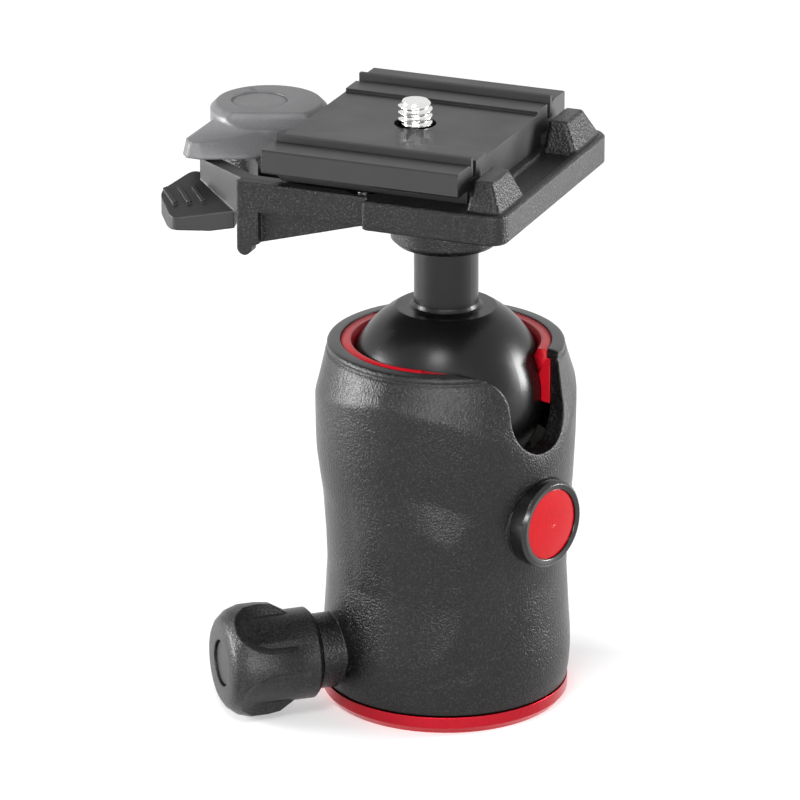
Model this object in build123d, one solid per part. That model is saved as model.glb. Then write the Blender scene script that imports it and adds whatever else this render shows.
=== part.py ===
from build123d import *
import math
import os

# Tripod ball head, millimetres. Z is up, the origin is the centre of the base's underside,
# and +X points through the drop notch and the badge. Pieces of the quick-release platform are
# drawn square to X and Y and turned about Z by PLATFORM_YAW when they are written.

# ---- Fits ----
RUN = 0.05            # radial clearance of a pin, shaft or spigot in its hole
SLIP = 0.05           # gap between flat faces that slide on each other
AIR = 0.3             # gap between moving pieces that don't bear on each other

# ---- Base ----
BASE_R = 23.1
BASE_T = 3.4
BASE_CHAMFER = 1.0
TRIPOD_THREAD_R = 4.7625       # 3/8"-16, at its major radius
BUSH_WALL = 1.6
BUSH_H = 12.0
BUSH_FLANGE = 1.4
FOOT_R = 14.5
FOOT_T = 2.0
SPINDLE_R = 8.5
WASHER_T = 0.5
BASE_SCREW_CIRCLE_R = 11.6
BASE_SCREW_R = 1.2
BASE_SCREW_HEAD_R = 2.2
BASE_SCREW_COUNT = 3

# ---- Housing ----
SEAM = 0.3                     # open line between the base disc and the housing
HOUSING_FOOT_R = 22.9
HIP_R, HIP_Z = 23.6, 10.5
WAIST_R, WAIST_Z = 22.75, 27.5
CHEST_R, CHEST_Z = 23.6, 41.0
SHOULDER_R, SHOULDER_Z = 24.5, 57.0
NECK_R, NECK_Z = 22.95, 68.9
RIM_Z = 70.2
RIM_EDGE = 1.1
BORE_R = 20.5
LIP_R = 19.65
LIP_T = 1.6
FACET_R = 30.0                 # the flatter cone that planes the shoulder round the notch
FACET_Z = 51.5
FACET_REACH = 24.2             # from the head's axis at FACET_Z
FACET_SLOPE = 4.3              # degrees
GRIP_INSET = 0.7               # the grips follow the housing's form, smaller by this
GRIP_SHIFT = 1.4               # and moved by this, so they sink in on one side and rise on the other
GRIP_TURN = 100.0              # degrees between the knob and the two ways they are moved
GRIP_TOP_Z, GRIP_BOTTOM_Z = 48.0, 9.8
GRIP_NOSE, GRIP_NOSE_Z = 12.8, 22.5
GRIP_CORNER, GRIP_CORNER_Z = 8.8, 38.2
GRIP_TURN = 70.0              # degrees between the knob and the panel's two faces

# ---- Ball ----
BALL_R = 18.6
BALL_Z = 60.7
FLAT_R = 9.4
STEM_R = 6.0
STEM_FILLET = 0.9
STEM_GRIP = 6.7                # length of the stem inside the platform's boss

# ---- Notch ----
NOTCH_HALF = 7.4
NOTCH_LEAD_R = 7.5             # rounded corner where the stem drops in
NOTCH_CORNER_R = 1.0

# ---- Seats ----
LINER_BOTTOM_Z = 60.0
LINER_MOUTH_R = 17.7
SLIP_LINER_T = 0.95
SLIP_LINER_SPAN = 38.0         # degrees from the ball's lowest point
SEAT_SPAN = 54.0
SEAT_BOTTOM_Z = 38.0
LIFTER_T = 1.7

# ---- Ball lock ----
LOCK_AZIMUTH = 120.0
LOCK_SHAFT_R = 4.5
LOBE_R = 4.2
LOBE_THROW = 0.5
LOBE_HALF = 9.0
LOCK_BOSS_R = 10.5
LOCK_BOSS_REACH = 26.4
LOCK_BUSH_WALL = 1.6
LOCK_KNOB_R = 13.0
LOCK_KNOB_LENGTH = 20.0
LOCK_KNOB_GROOVE_R = 2.6
LOCK_KNOB_LOBES = 10
DIAL_R = 8.4
DIAL_DEPTH = 4.0
DIAL_PROUD = 2.2
DIAL_NOTCHES = 24

# ---- Pan lock ----
PAN_AZIMUTH = -120.0
PAN_Z = 10.8
PAN_COLLAR_R = 7.1
PAN_COLLAR_REACH = 26.3
PAN_SCREW_R = 3.0
KNOB_GAP = 0.4
PAN_KNOB_LENGTH = 17.6
PAN_KNOB_CORE_R = 8.6
PAN_KNOB_R = 10.6
PAN_KNOB_RIBS = 5
PAN_RIB_TURN = 12.5            # degrees from level to the first rib
PAN_FLUTE_HALF = 3.3           # half width of a flute's floor
PAN_FLUTE_FLARE = 1.6          # how fast a flute widens towards the outside
PAN_FLUTE_END = 14.0           # where its round end is centred
PAN_CAP_R = 4.4
PAN_CAP_T = 1.2
BRAKE_GROOVE = 1.4
BRAKE_GROOVE_HALF = 2.2

# ---- Bearing block ----
BLOCK_R = 20.9
BLOCK_TOP_Z = 16.0
RING_T = 1.2
RING_DEPTH = 0.8
NUT_R = 12.0
NUT_T = 2.8

# ---- Badge ----
BADGE_Z = 39.7
BADGE_R = 8.3
BADGE_FACE_R = 6.7
BADGE_REACH = 26.2
BADGE_FLOOR = 22.7
BADGE_DISC_T = 1.6
BADGE_DOME = 0.55

# ---- Platform casting ----
PLATFORM_YAW = 19.0
DECK_Z = 104.9                 # top of the casting, where the plate rests
DECK_T = 5.6
JAW_X = 21.8                   # the fixed jaw's outer side
STEP_X = -5.3                  # where the square deck meets the wing
DECK_HALF_Y = 27.8
DECK_CORNER_R = 3.6
DECK_EDGE = 0.4
DECK_RIM_W = 1.7               # narrow rim left standing between the jaw posts
DECK_RIM_H = 0.7
NECK_BOSS_R = 10.3
NECK_BOSS_H = 15.6             # from its foot to the deck
NECK_BOSS_EDGE = 1.0
POST_X0, POST_X1 = 14.5, 18.0
POST_Y0, POST_Y1 = 14.6, 23.3
POST_H = 5.1
POST_FOOT = 1.6                # how far the foot reaches towards the other post
POST_SPREAD = 2.7              # how far it reaches towards the deck's edges
POST_ROUND = 0.8
HOOK_DEPTH = 1.9
HOOK_H = 2.0
PLATFORM_SCREW_R = 3.0
PLATFORM_SCREW_HEAD_R = 5.0
PLATFORM_SCREW_HEAD_T = 3.2
PLATFORM_SCREW_SUNK = 0.2
PLATFORM_SCREW_GRIP = 13.0     # length of the screw inside the stem
PLATFORM_SCREW_HEX_R = 2.9

# ---- Wing of the casting ----
WING_X = -31.0
WING_FRONT_Y = -25.5
WING_BACK_Y = 21.0
WALL_T = 2.3
WALL_LEFT_DROP = 1.7           # the wall's left end lies this far under the deck
WALL_LEFT_H = 12.9             # depth of the wall's left end under the deck
RIB_W = 2.8
RIB_H = 14.1
ARCH_DEPTH = 1.5
ARCH_LEFT = 4.2                # from the wall's left end
ARCH_LEFT_DROP = 3.0
ARCH_CROWN = 13.5
ARCH_CROWN_DROP = 2.0
SLOT_DEPTH = 4.1
SLOT_W = 7.6

# ---- Cam lever ----
HUB_X, HUB_Y = -39.5, 5.0
HUB_R = 10.95
HUB_SHIFT = 1.9                # the hub's body is centred this far from its pivot
HUB_H = 5.4
HUB_EDGE = 1.1
HUB_CROWN_REACH = 7.2          # from the hub's centre to the front of its flat top
HUB_FRONT_TURN = -67.9         # degrees, the way the cut-back front faces
HUB_STEP_H = 3.2
CAP_R = 5.2
CAP_T = 0.7
CAP_SUNK = 0.2
PIVOT_R = 3.0
PIVOT_HEAD_R = 4.6
PIVOT_HEAD_T = 1.8
HANDLE_H = 3.0
HANDLE_SIDE_X = -46.3
HANDLE_TIP_Y = -17.0
HANDLE_TIP_W = 2.6
HANDLE_CORNER = 2.0
HANDLE_HEEL_X, HANDLE_HEEL_Y = -32.6, -12.8
HANDLE_RIDGE_X, HANDLE_RIDGE_Y = -38.6, -11.6
HANDLE_DRAFT = 0.5
LEVER_BOSS_R = 7.4
LEVER_BOSS_T = 8.0
LEVER_BOSS_FLOOR = 1.2         # left under the pivot
LEVER_SPRING_R = 4.2
LEVER_SPRING_H = 4.0
SPRING_WIRE_R = 0.5

# ---- Safety catch ----
CATCH_PIN_X, CATCH_PIN_Y = -7.6, -21.3
CATCH_PIN_R = 1.2
CATCH_EYE_R = 3.0
CATCH_DROP = 0.5               # from the deck down to the catch's top
CATCH_ARM_W = 3.0
CATCH_BEND_X = -30.4
CATCH_END_X, CATCH_END_Y = -43.1, -14.5
CATCH_SPRING_R = 1.65
CATCH_SPRING_WIRE_R = 0.25
CATCH_SPRING_H = 2.0
TAB_ROOT_X = -33.6
TAB_FRONT_X, TAB_FRONT_Y = -44.6, -24.4
TAB_LEFT_X, TAB_LEFT_Y = -49.6, -18.6
TAB_BACK_X, TAB_BACK_Y = -44.9, -12.0
TAB_DROP = 3.4                 # from the deck down to the tab's back edge
TAB_SLOPE = 25.6               # degrees
TAB_T = 3.0
TAB_CORNER_R = 2.2
TAB_RIBS = 3
TAB_RIB_L, TAB_RIB_W, TAB_RIB_H = 4.8, 0.9, 0.6
TAB_RIB_PITCH = 2.6

# ---- Trigger plunger ----
PLUNGER_X, PLUNGER_Y = -16.0, 6.0
PLUNGER_R = 2.0
PLUNGER_L = 2.2

# ---- Camera plate ----
PLATE_X0, PLATE_X1 = -25.4, 12.9
PLATE_HALF_Y = 27.1
PLATE_T = 7.0
LIP_RISE = 2.5                 # from the deck up to the lips' underside
LIP_Y = 21.6
FOOT_Y = 22.3
STRIP_Y0, STRIP_Y1 = 19.5, 20.5
GROOVE_Y0 = 18.0
GROOVE_DEPTH = 3.0
STRIP_PROUD = 1.1
PAD_Y = 13.0
PAD_DROP = 0.6
FOOT_BEVEL = 2.0
SCREW_X = -6.2
CAMERA_SCREW_R = 3.175         # 1/4"-20, at its major radius
CAMERA_SCREW_PROUD = 4.4
CAMERA_SCREW_EDGE = 0.6
CAMERA_NECK_R = 2.5            # plain neck under the thread
CAMERA_NECK_PROUD = 0.1
CAMERA_HOLE_R = 3.9
CAMERA_HEAD_R = 6.0
CAMERA_HEAD_T = 1.6
COIN_SLOT_W, COIN_SLOT_DEPTH = 1.2, 0.95
CLIP_T = 0.6
CLIP_MOUTH = 4.2

# ---- Worked out from the sizes above ----
HOUSING_Z = BASE_T + SEAM
LIP_Z = RIM_Z - LIP_T
BUSH_R = TRIPOD_THREAD_R + BUSH_WALL
FOOT_TOP_Z = BASE_T + FOOT_T
WASHER_TOP_Z = FOOT_TOP_Z + WASHER_T
BLOCK_Z = WASHER_TOP_Z + SLIP
NUT_Z = BLOCK_TOP_Z + SLIP
SPINDLE_TOP_Z = NUT_Z + NUT_T
NUT_BORE_R = SPINDLE_R - 1.2
SLIP_LINER_R = BALL_R + RUN + SLIP_LINER_T
SEAT_R = SLIP_LINER_R + RUN
LIFTER_Z = SEAT_BOTTOM_Z - LIFTER_T
LOCK_Z = LIFTER_Z - SLIP - LOBE_R - LOBE_THROW
LOCK_KNOB_START = LOCK_BOSS_REACH + KNOB_GAP
PAN_KNOB_START = PAN_COLLAR_REACH + KNOB_GAP
FLAT_Z = BALL_Z + math.sqrt(BALL_R ** 2 - FLAT_R ** 2)
DECK_BOTTOM_Z = DECK_Z - DECK_T
NECK_BOSS_Z = DECK_Z - NECK_BOSS_H
STEM_TOP_Z = NECK_BOSS_Z + STEM_GRIP
LIP_TOP_Z = DECK_Z + PLATE_T
LIP_BOTTOM_Z = DECK_Z + LIP_RISE
PAD_Z = LIP_TOP_Z - PAD_DROP
HUB_TOP_Z = DECK_Z + HUB_H
PIVOT_TOP_Z = HUB_TOP_Z - CAP_T - CAP_SUNK
SLOT_FLOOR_Z = DECK_Z - SLOT_DEPTH
SLOT_FRONT_Y = WING_FRONT_Y + WALL_T
SLOT_BACK_Y = SLOT_FRONT_Y + SLOT_W
CATCH_FRONT_Y = SLOT_FRONT_Y + AIR
CATCH_LOW_Z = SLOT_FLOOR_Z + SLIP
CATCH_TOP_Z = DECK_Z - CATCH_DROP


# ---- Helpers ----
def radial(azimuth, height, reach=0.0):
    """Plane whose +Z leaves the head's axis level at azimuth, with +Y up."""
    a = math.radians(azimuth)
    out = Vector(math.cos(a), math.sin(a), 0)
    side = Vector(-math.sin(a), math.cos(a), 0)
    return Plane(origin=out * reach + Vector(0, 0, height), x_dir=side, z_dir=out)


def rod(radius, low, high, x=0.0, y=0.0):
    """Upright cylinder from low to high."""
    return Pos(x, y, low) * Cylinder(radius, high - low, align=(Align.CENTER, Align.CENTER, Align.MIN))


def spoke(azimuth, height, radius, start, end):
    """Level cylinder pointing away from the head's axis."""
    solid = Cylinder(radius, end - start, align=(Align.CENTER, Align.CENTER, Align.MIN))
    return radial(azimuth, height, start) * solid


def block(x0, x1, y0, y1, z0, z1):
    """Box between two corners."""
    solid = Box(x1 - x0, y1 - y0, z1 - z0, align=(Align.MIN, Align.MIN, Align.MIN))
    return Pos(x0, y0, z0) * solid


def turned(*points):
    """Solid turned about Z from (radius, height) points."""
    face = make_face(Polyline(*[(r, 0, z) for r, z in points], close=True))
    return revolve(face, Axis.Z)


def slab(points, low, high):
    """Upright prism on a plan outline."""
    face = make_face(Polyline(*[(x, y, low) for x, y in points], close=True))
    return extrude(face, amount=high - low, dir=(0, 0, 1))


def coil(radius, wire_r, low, high, turns, x=0.0, y=0.0):
    """Helical spring standing on low."""
    pitch = (high - low - 2 * wire_r) / turns
    path = Helix(pitch, pitch * turns, radius)
    profile = Plane(origin=path @ 0, z_dir=path % 0) * Circle(wire_r)
    return Pos(x, y, low + wire_r) * sweep(profile, path=path)


# ---- Base group ----
def base_screw_places():
    return [loc for loc in PolarLocations(BASE_SCREW_CIRCLE_R, BASE_SCREW_COUNT)]


def make_base_disc():
    disc = turned((0, 0), (BASE_R - BASE_CHAMFER, 0), (BASE_R, BASE_CHAMFER * 1.3), (BASE_R, BASE_T),
                  (0, BASE_T))
    disc -= rod(BUSH_R + RUN, 0, BASE_T)
    disc -= rod(BUSH_R + BUSH_FLANGE + RUN, 0, BUSH_FLANGE)
    for place in base_screw_places():
        head = Cone(BASE_SCREW_HEAD_R, BASE_SCREW_R, BASE_SCREW_HEAD_R - BASE_SCREW_R,
                    align=(Align.CENTER, Align.CENTER, Align.MIN))
        disc -= place * head
        disc -= place * rod(BASE_SCREW_R + RUN, 0, BASE_T)
    return disc


def make_thread_bush():
    bush = turned((0, 0), (BUSH_R + BUSH_FLANGE, 0), (BUSH_R + BUSH_FLANGE, BUSH_FLANGE),
                  (BUSH_R, BUSH_FLANGE), (BUSH_R, BUSH_H), (0, BUSH_H))
    return bush - rod(TRIPOD_THREAD_R, 0, BUSH_H)


def make_base_screws():
    screws = []
    head_t = BASE_SCREW_HEAD_R - BASE_SCREW_R
    for place in base_screw_places():
        screw = turned((0, 0.1), (BASE_SCREW_HEAD_R - 0.2, 0.1), (BASE_SCREW_R, head_t - 0.05),
                       (BASE_SCREW_R, FOOT_TOP_Z - 0.2), (0, FOOT_TOP_Z - 0.2))
        screw -= Pos(0, 0, 0.1) * extrude(RegularPolygon(0.75, 6), amount=0.7)
        screws.append(place * screw)
    return Part() + screws


def make_pan_spindle():
    groove_r = SPINDLE_R - BRAKE_GROOVE
    spindle = turned((0, BASE_T), (FOOT_R, BASE_T), (FOOT_R, FOOT_TOP_Z), (SPINDLE_R, FOOT_TOP_Z),
                     (SPINDLE_R, PAN_Z - BRAKE_GROOVE_HALF), (groove_r, PAN_Z),
                     (SPINDLE_R, PAN_Z + BRAKE_GROOVE_HALF), (SPINDLE_R, NUT_Z),
                     (NUT_BORE_R, NUT_Z), (NUT_BORE_R, SPINDLE_TOP_Z), (0, SPINDLE_TOP_Z))
    spindle -= rod(BUSH_R + RUN, BASE_T, BUSH_H + SLIP)
    for place in base_screw_places():
        spindle -= place * rod(BASE_SCREW_R + RUN, BASE_T, FOOT_TOP_Z - 0.15)
    return spindle


def make_slip_washer():
    return rod(FOOT_R - 0.2, FOOT_TOP_Z, WASHER_TOP_Z) - rod(SPINDLE_R + RUN, FOOT_TOP_Z, WASHER_TOP_Z)


def make_spindle_nut():
    nut = rod(NUT_R, NUT_Z, SPINDLE_TOP_Z) - rod(NUT_BORE_R + RUN, NUT_Z, SPINDLE_TOP_Z)
    slots = [place * rod(1.2, SPINDLE_TOP_Z - 1.6, SPINDLE_TOP_Z) for place in PolarLocations(NUT_R - 0.2, 4)]
    return nut - slots


# ---- Housing ----
def outer_form(extra=0.0):
    """Turned outer shape of the housing, or the same shape swollen by extra."""
    side = Spline((HOUSING_FOOT_R + extra, 0, HOUSING_Z), (HIP_R + extra, 0, HIP_Z),
                  (WAIST_R + extra, 0, WAIST_Z), (CHEST_R + extra, 0, CHEST_Z),
                  (SHOULDER_R + extra, 0, SHOULDER_Z), (NECK_R + extra, 0, NECK_Z),
                  tangents=((0.35, 0, 1), (-0.28, 0, 1)))
    corner_r = NECK_R + extra - RIM_EDGE
    top = Polyline((NECK_R + extra, 0, NECK_Z), (corner_r, 0, RIM_Z), (0, 0, RIM_Z), (0, 0, HOUSING_Z),
                   (HOUSING_FOOT_R + extra, 0, HOUSING_Z))
    return revolve(make_face([side, *top.edges()]), Axis.Z)


def shoulder_cone():
    """Wide cone that planes the shoulder on the notch's side, with an edge that arches down to it."""
    slope = math.tan(math.radians(FACET_SLOPE))
    cone = Cone(FACET_R + FACET_Z * slope, FACET_R - (RIM_Z + 1 - FACET_Z) * slope, RIM_Z + 1,
                align=(Align.CENTER, Align.CENTER, Align.MIN))
    return Pos(FACET_REACH - FACET_R, 0, 0) * cone


def grip_prism(azimuth, flip):
    """Radial prism with a grip's outline: open at the knob's side, round at its free end."""
    far = HIP_R + 8
    top, bottom = GRIP_TOP_Z, GRIP_BOTTOM_Z
    start, end = (-10.0 * flip, top), (-5.0 * flip, bottom)
    nose = Spline(start, (GRIP_CORNER * flip, GRIP_CORNER_Z), (GRIP_NOSE * flip, GRIP_NOSE_Z), end,
                  tangents=((flip, 0), (-flip, -0.15)))
    sides = Polyline(end, (-far * flip, bottom), (-far * flip, top), start)
    return extrude(radial(azimuth, 0) * make_face([nose, *sides.edges()]), amount=far)


def grip(side):
    """One grip: its prism, and the same prism cut down to the housing's form, smaller and moved."""
    prism = grip_prism(PAN_AZIMUTH + side * GRIP_TURN, side)
    way = radial(PAN_AZIMUTH + side * GRIP_TURN, 0, GRIP_SHIFT).origin
    return prism, prism & (Pos(*way) * outer_form(-GRIP_INSET))


def notch_outline():
    """Opening that lets the stem drop level, on the plane square to +X; local x is +Y."""
    w, top, above = NOTCH_HALF, RIM_Z - BALL_Z, RIM_Z - BALL_Z + 12
    lead, corner = NOTCH_LEAD_R, NOTCH_CORNER_R
    return make_face([
        ThreePointArc((-w, 0), (0, -w), (w, 0)),
        Line((w, 0), (w, top - corner)),
        RadiusArc((w, top - corner), (w + corner, top), corner),
        Line((w + corner, top), (w + corner, above)),
        Line((w + corner, above), (-w - lead, above)),
        Line((-w - lead, above), (-w - lead, top)),
        RadiusArc((-w - lead, top), (-w, top - lead), lead),
        Line((-w, top - lead), (-w, 0)),
    ])


def notch_cut(start):
    return extrude(radial(0, BALL_Z, start) * notch_outline(), amount=SHOULDER_R + 6 - start)


def make_housing():
    body = outer_form() & shoulder_cone()
    right, left = grip(1), grip(-1)
    body = body - right[0] - left[0] + right[1] + left[1]
    body += spoke(PAN_AZIMUTH, PAN_Z, PAN_COLLAR_R, BORE_R, PAN_COLLAR_REACH)
    body += spoke(LOCK_AZIMUTH, LOCK_Z, LOCK_BOSS_R, BORE_R, LOCK_BOSS_REACH)
    body += spoke(0, BADGE_Z, BADGE_R, BORE_R, BADGE_FLOOR)
    body -= rod(BLOCK_R + RUN, HOUSING_Z - 1, BLOCK_TOP_Z)
    body -= rod(BORE_R, BLOCK_TOP_Z, LIP_Z)
    body -= rod(LIP_R, LIP_Z, RIM_Z)
    body -= rod(BLOCK_R + RING_DEPTH, BLOCK_Z - RING_T - SLIP, BLOCK_Z)
    body -= spoke(PAN_AZIMUTH, PAN_Z, PAN_SCREW_R + RUN, 0, PAN_COLLAR_REACH)
    body -= spoke(LOCK_AZIMUTH, LOCK_Z, LOCK_SHAFT_R + LOCK_BUSH_WALL + RUN, 0, LOCK_BOSS_REACH)
    body -= spoke(0, BADGE_Z, BADGE_R + RUN, BADGE_FLOOR, BADGE_REACH + 4)
    body -= notch_cut(0)
    return body


def make_bearing_block():
    body = rod(BLOCK_R, BLOCK_Z, BLOCK_TOP_Z) - rod(SPINDLE_R + RUN, BLOCK_Z, BLOCK_TOP_Z)
    return body - spoke(PAN_AZIMUTH, PAN_Z, PAN_SCREW_R + RUN, 0, BLOCK_R + 1)


def make_block_ring():
    """Split ring that holds the bearing block up in the housing."""
    top = BLOCK_Z - SLIP
    ring = rod(BLOCK_R + RING_DEPTH - RUN, top - RING_T + SLIP, top) - rod(BLOCK_R - 1.6, top - RING_T, top)
    return ring - spoke(90, top - RING_T / 2, 3.0, 0, BLOCK_R + 3)


def make_upper_liner():
    outer = BORE_R - RUN
    ring = turned((BALL_R, LINER_BOTTOM_Z), (outer, LINER_BOTTOM_Z), (outer, LIP_Z - SLIP),
                  (LIP_R - RUN, LIP_Z - SLIP), (LIP_R - RUN, RIM_Z - 0.15), (LINER_MOUTH_R, RIM_Z - 0.15),
                  (LINER_MOUTH_R - 1.2, RIM_Z - 2.6), (0, RIM_Z - 2.6), (0, LINER_BOTTOM_Z))
    ring -= Pos(0, 0, BALL_Z) * Sphere(BALL_R + RUN)
    slot = extrude(radial(0, BALL_Z) * Rectangle(2 * NOTCH_HALF - 0.8, 60), amount=BORE_R + 5)
    return ring - slot


def ball_shell(inner, outer, span):
    """Part of a round shell under the ball, out to span degrees from its lowest point."""
    shell = Sphere(outer) - Sphere(inner)
    a = math.radians(span)
    reach = outer * 1.2
    cone = make_face(Polyline((0, 0, 0), (0, 0, -reach), (reach * math.tan(a), 0, -reach), close=True))
    return Pos(0, 0, BALL_Z) * (shell & revolve(cone, Axis.Z))


def make_slip_liner():
    return ball_shell(BALL_R + RUN, SLIP_LINER_R, SLIP_LINER_SPAN)


def make_lower_seat():
    rim_z = BALL_Z - SEAT_R * math.cos(math.radians(SEAT_SPAN))
    cup = rod(BORE_R - RUN, SEAT_BOTTOM_Z, rim_z)
    return cup - Pos(0, 0, BALL_Z) * Sphere(SEAT_R)


def make_seat_lifter():
    return rod(BORE_R - RUN, LIFTER_Z, SEAT_BOTTOM_Z)


# ---- Ball lock ----
def make_lock_bush():
    outer = LOCK_SHAFT_R + LOCK_BUSH_WALL
    start = BORE_R + SLIP
    bush = spoke(LOCK_AZIMUTH, LOCK_Z, outer, start, LOCK_BOSS_REACH)
    return bush - spoke(LOCK_AZIMUTH, LOCK_Z, LOCK_SHAFT_R + RUN, start - 1, LOCK_BOSS_REACH + 1)


def make_lock_shaft():
    end = LOCK_KNOB_START + LOCK_KNOB_LENGTH - DIAL_DEPTH - 2.0
    shaft = spoke(LOCK_AZIMUTH, LOCK_Z, LOCK_SHAFT_R, LOBE_HALF, end)
    lobe = Cylinder(LOBE_R, 2 * LOBE_HALF, align=(Align.CENTER, Align.CENTER, Align.MIN))
    return shaft + radial(LOCK_AZIMUTH, LOCK_Z, -LOBE_HALF) * (Pos(0, LOBE_THROW, 0) * lobe)


def make_lock_knob():
    """Big knob, drawn along +Z with its skirt at the origin."""
    r, length = LOCK_KNOB_R, LOCK_KNOB_LENGTH
    knob = turned((0, 0), (r - 2.4, 0), (r - 2.0, 5.0), (r, 8.0), (r, length - 1.5), (r - 1.5, length),
                  (0, length))
    flute = rod(LOCK_KNOB_GROOVE_R, 6.5, length + 1) + Pos(0, 0, 6.5) * Sphere(LOCK_KNOB_GROOVE_R)
    knob -= [place * flute for place in PolarLocations(r + 1.6, LOCK_KNOB_LOBES)]
    knob -= rod(DIAL_R + AIR, length - DIAL_DEPTH, length)
    knob -= rod(LOCK_SHAFT_R + RUN, 0, length - DIAL_DEPTH - 2.0 + RUN)
    return radial(LOCK_AZIMUTH, LOCK_Z, LOCK_KNOB_START) * knob


def make_friction_dial():
    high = DIAL_DEPTH + DIAL_PROUD
    dial = turned((0, SLIP), (DIAL_R, SLIP), (DIAL_R, high - 0.6), (DIAL_R - 0.6, high), (0, high))
    notch = rod(0.45, DIAL_DEPTH + 0.5, high + 1)
    dial -= [place * notch for place in PolarLocations(DIAL_R, DIAL_NOTCHES)]
    dial -= rod(4.2, high - 0.6, high)
    start = LOCK_KNOB_START + LOCK_KNOB_LENGTH - DIAL_DEPTH
    return radial(LOCK_AZIMUTH, LOCK_Z, start) * dial


# ---- Pan lock ----
def make_pan_screw():
    start = SPINDLE_R + 4.5
    return spoke(PAN_AZIMUTH, PAN_Z, PAN_SCREW_R, start, PAN_KNOB_START + PAN_KNOB_LENGTH - PAN_CAP_T - 1.0)


def make_brake_pad():
    """Soft pad that the pan screw pushes into the spindle's groove."""
    reach = SPINDLE_R + 0.4
    tip = 0.6
    pad = turned((0, SPINDLE_R - BRAKE_GROOVE + 0.4), (0.5, SPINDLE_R - BRAKE_GROOVE + 0.4), (1.7, reach),
                 (PAN_SCREW_R - tip / 6, reach), (PAN_SCREW_R - tip / 6, reach + 3.9), (0, reach + 3.9))
    return radial(PAN_AZIMUTH, PAN_Z) * pad


def pan_flute():
    """Finger flute at +X of the pan knob: open at the neck, round at its other end."""
    floor, height = PAN_KNOB_CORE_R - 0.6, 4.0
    wide = PAN_FLUTE_HALF + PAN_FLUTE_FLARE * height
    section = make_face(Polyline((floor, -PAN_FLUTE_HALF, 0), (floor + height, -wide, 0),
                                 (floor + height, wide, 0), (floor, PAN_FLUTE_HALF, 0), close=True))
    round_end = Cone(PAN_FLUTE_HALF, wide, height, align=(Align.CENTER, Align.CENTER, Align.MIN))
    return extrude(section, amount=PAN_FLUTE_END, dir=(0, 0, 1)) + Pos(floor, 0, PAN_FLUTE_END) * (
        Rot(0, 90, 0) * round_end)


def make_pan_knob():
    """Small knob, drawn along +Z from its neck: a round core with ribs between finger flutes."""
    length, core_r, r = PAN_KNOB_LENGTH, PAN_KNOB_CORE_R, PAN_KNOB_R
    ribs = turned((0, 2.1), (core_r, 2.1), (r, 5.5), (r, length - 0.8), (r - 0.8, length), (0, length))
    pitch = 360 / PAN_KNOB_RIBS
    ribs -= [Rot(0, 0, PAN_RIB_TURN + (k + 0.5) * pitch) * pan_flute() for k in range(PAN_KNOB_RIBS)]
    knob = ribs + turned((0, 0), (core_r - 0.7, 0), (core_r, 0.7), (core_r, length - 0.3), (0, length - 0.3))
    knob -= rod(PAN_CAP_R + RUN, length - PAN_CAP_T, length)
    knob -= rod(PAN_SCREW_R + RUN, 0, length - PAN_CAP_T - 1.0 + RUN)
    return radial(PAN_AZIMUTH, PAN_Z, PAN_KNOB_START) * knob


def make_pan_knob_cap():
    start = PAN_KNOB_START + PAN_KNOB_LENGTH - PAN_CAP_T
    cap = turned((0, 0), (PAN_CAP_R, 0), (PAN_CAP_R, PAN_CAP_T - 0.7), (PAN_CAP_R - 0.4, PAN_CAP_T - 0.4),
                 (0, PAN_CAP_T - 0.4))
    return radial(PAN_AZIMUTH, PAN_Z, start) * cap


# ---- Badge ----
def make_badge_bezel():
    length = BADGE_REACH - BADGE_FLOOR
    lip = length - 0.6
    bezel = turned((0, 0), (BADGE_R, 0), (BADGE_R, lip), (BADGE_R - 0.6, length),
                   (BADGE_FACE_R, length - 0.2), (0, length - 0.2))
    bezel -= rod(BADGE_FACE_R + RUN, length - BADGE_DISC_T - 0.2, length + 1)
    return radial(0, BADGE_Z, BADGE_FLOOR) * bezel


def make_badge_disc():
    """Domed disc set in the bezel."""
    dome_r = (BADGE_FACE_R ** 2 + BADGE_DOME ** 2) / (2 * BADGE_DOME)
    high = BADGE_DISC_T - 0.3 + BADGE_DOME
    disc = rod(BADGE_FACE_R, 0, high) & Pos(0, 0, high - dome_r) * Sphere(dome_r)
    return radial(0, BADGE_Z, BADGE_REACH - 0.2 - BADGE_DISC_T) * disc


# ---- Ball and stem ----
def make_ball():
    ball = Pos(0, 0, BALL_Z) * Sphere(BALL_R)
    ball -= rod(BALL_R + 1, FLAT_Z, FLAT_Z + BALL_R)
    f = STEM_FILLET
    ball += rod(STEM_R, FLAT_Z - 2, STEM_TOP_Z)
    ball += turned((0, FLAT_Z - f), (STEM_R + f, FLAT_Z - f), (STEM_R + f, FLAT_Z),
                   (STEM_R + f / 3, FLAT_Z + f / 3), (STEM_R, FLAT_Z + f), (0, FLAT_Z + f))
    return ball - rod(PLATFORM_SCREW_R + RUN, STEM_TOP_Z - PLATFORM_SCREW_GRIP - 1, STEM_TOP_Z)


# ---- Platform, in its own square frame ----
def wing_plan():
    """Plan outline of the wing's deck from the front wall round to the back."""
    return [(STEP_X, WING_FRONT_Y), (WING_X, WING_FRONT_Y), (WING_X, SLOT_BACK_Y),
            (HUB_X, HUB_Y - LEVER_BOSS_R + 1), (HUB_X, HUB_Y + LEVER_BOSS_R - 1), (WING_X + 6, WING_BACK_Y),
            (STEP_X, WING_BACK_Y + 2)]


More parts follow.
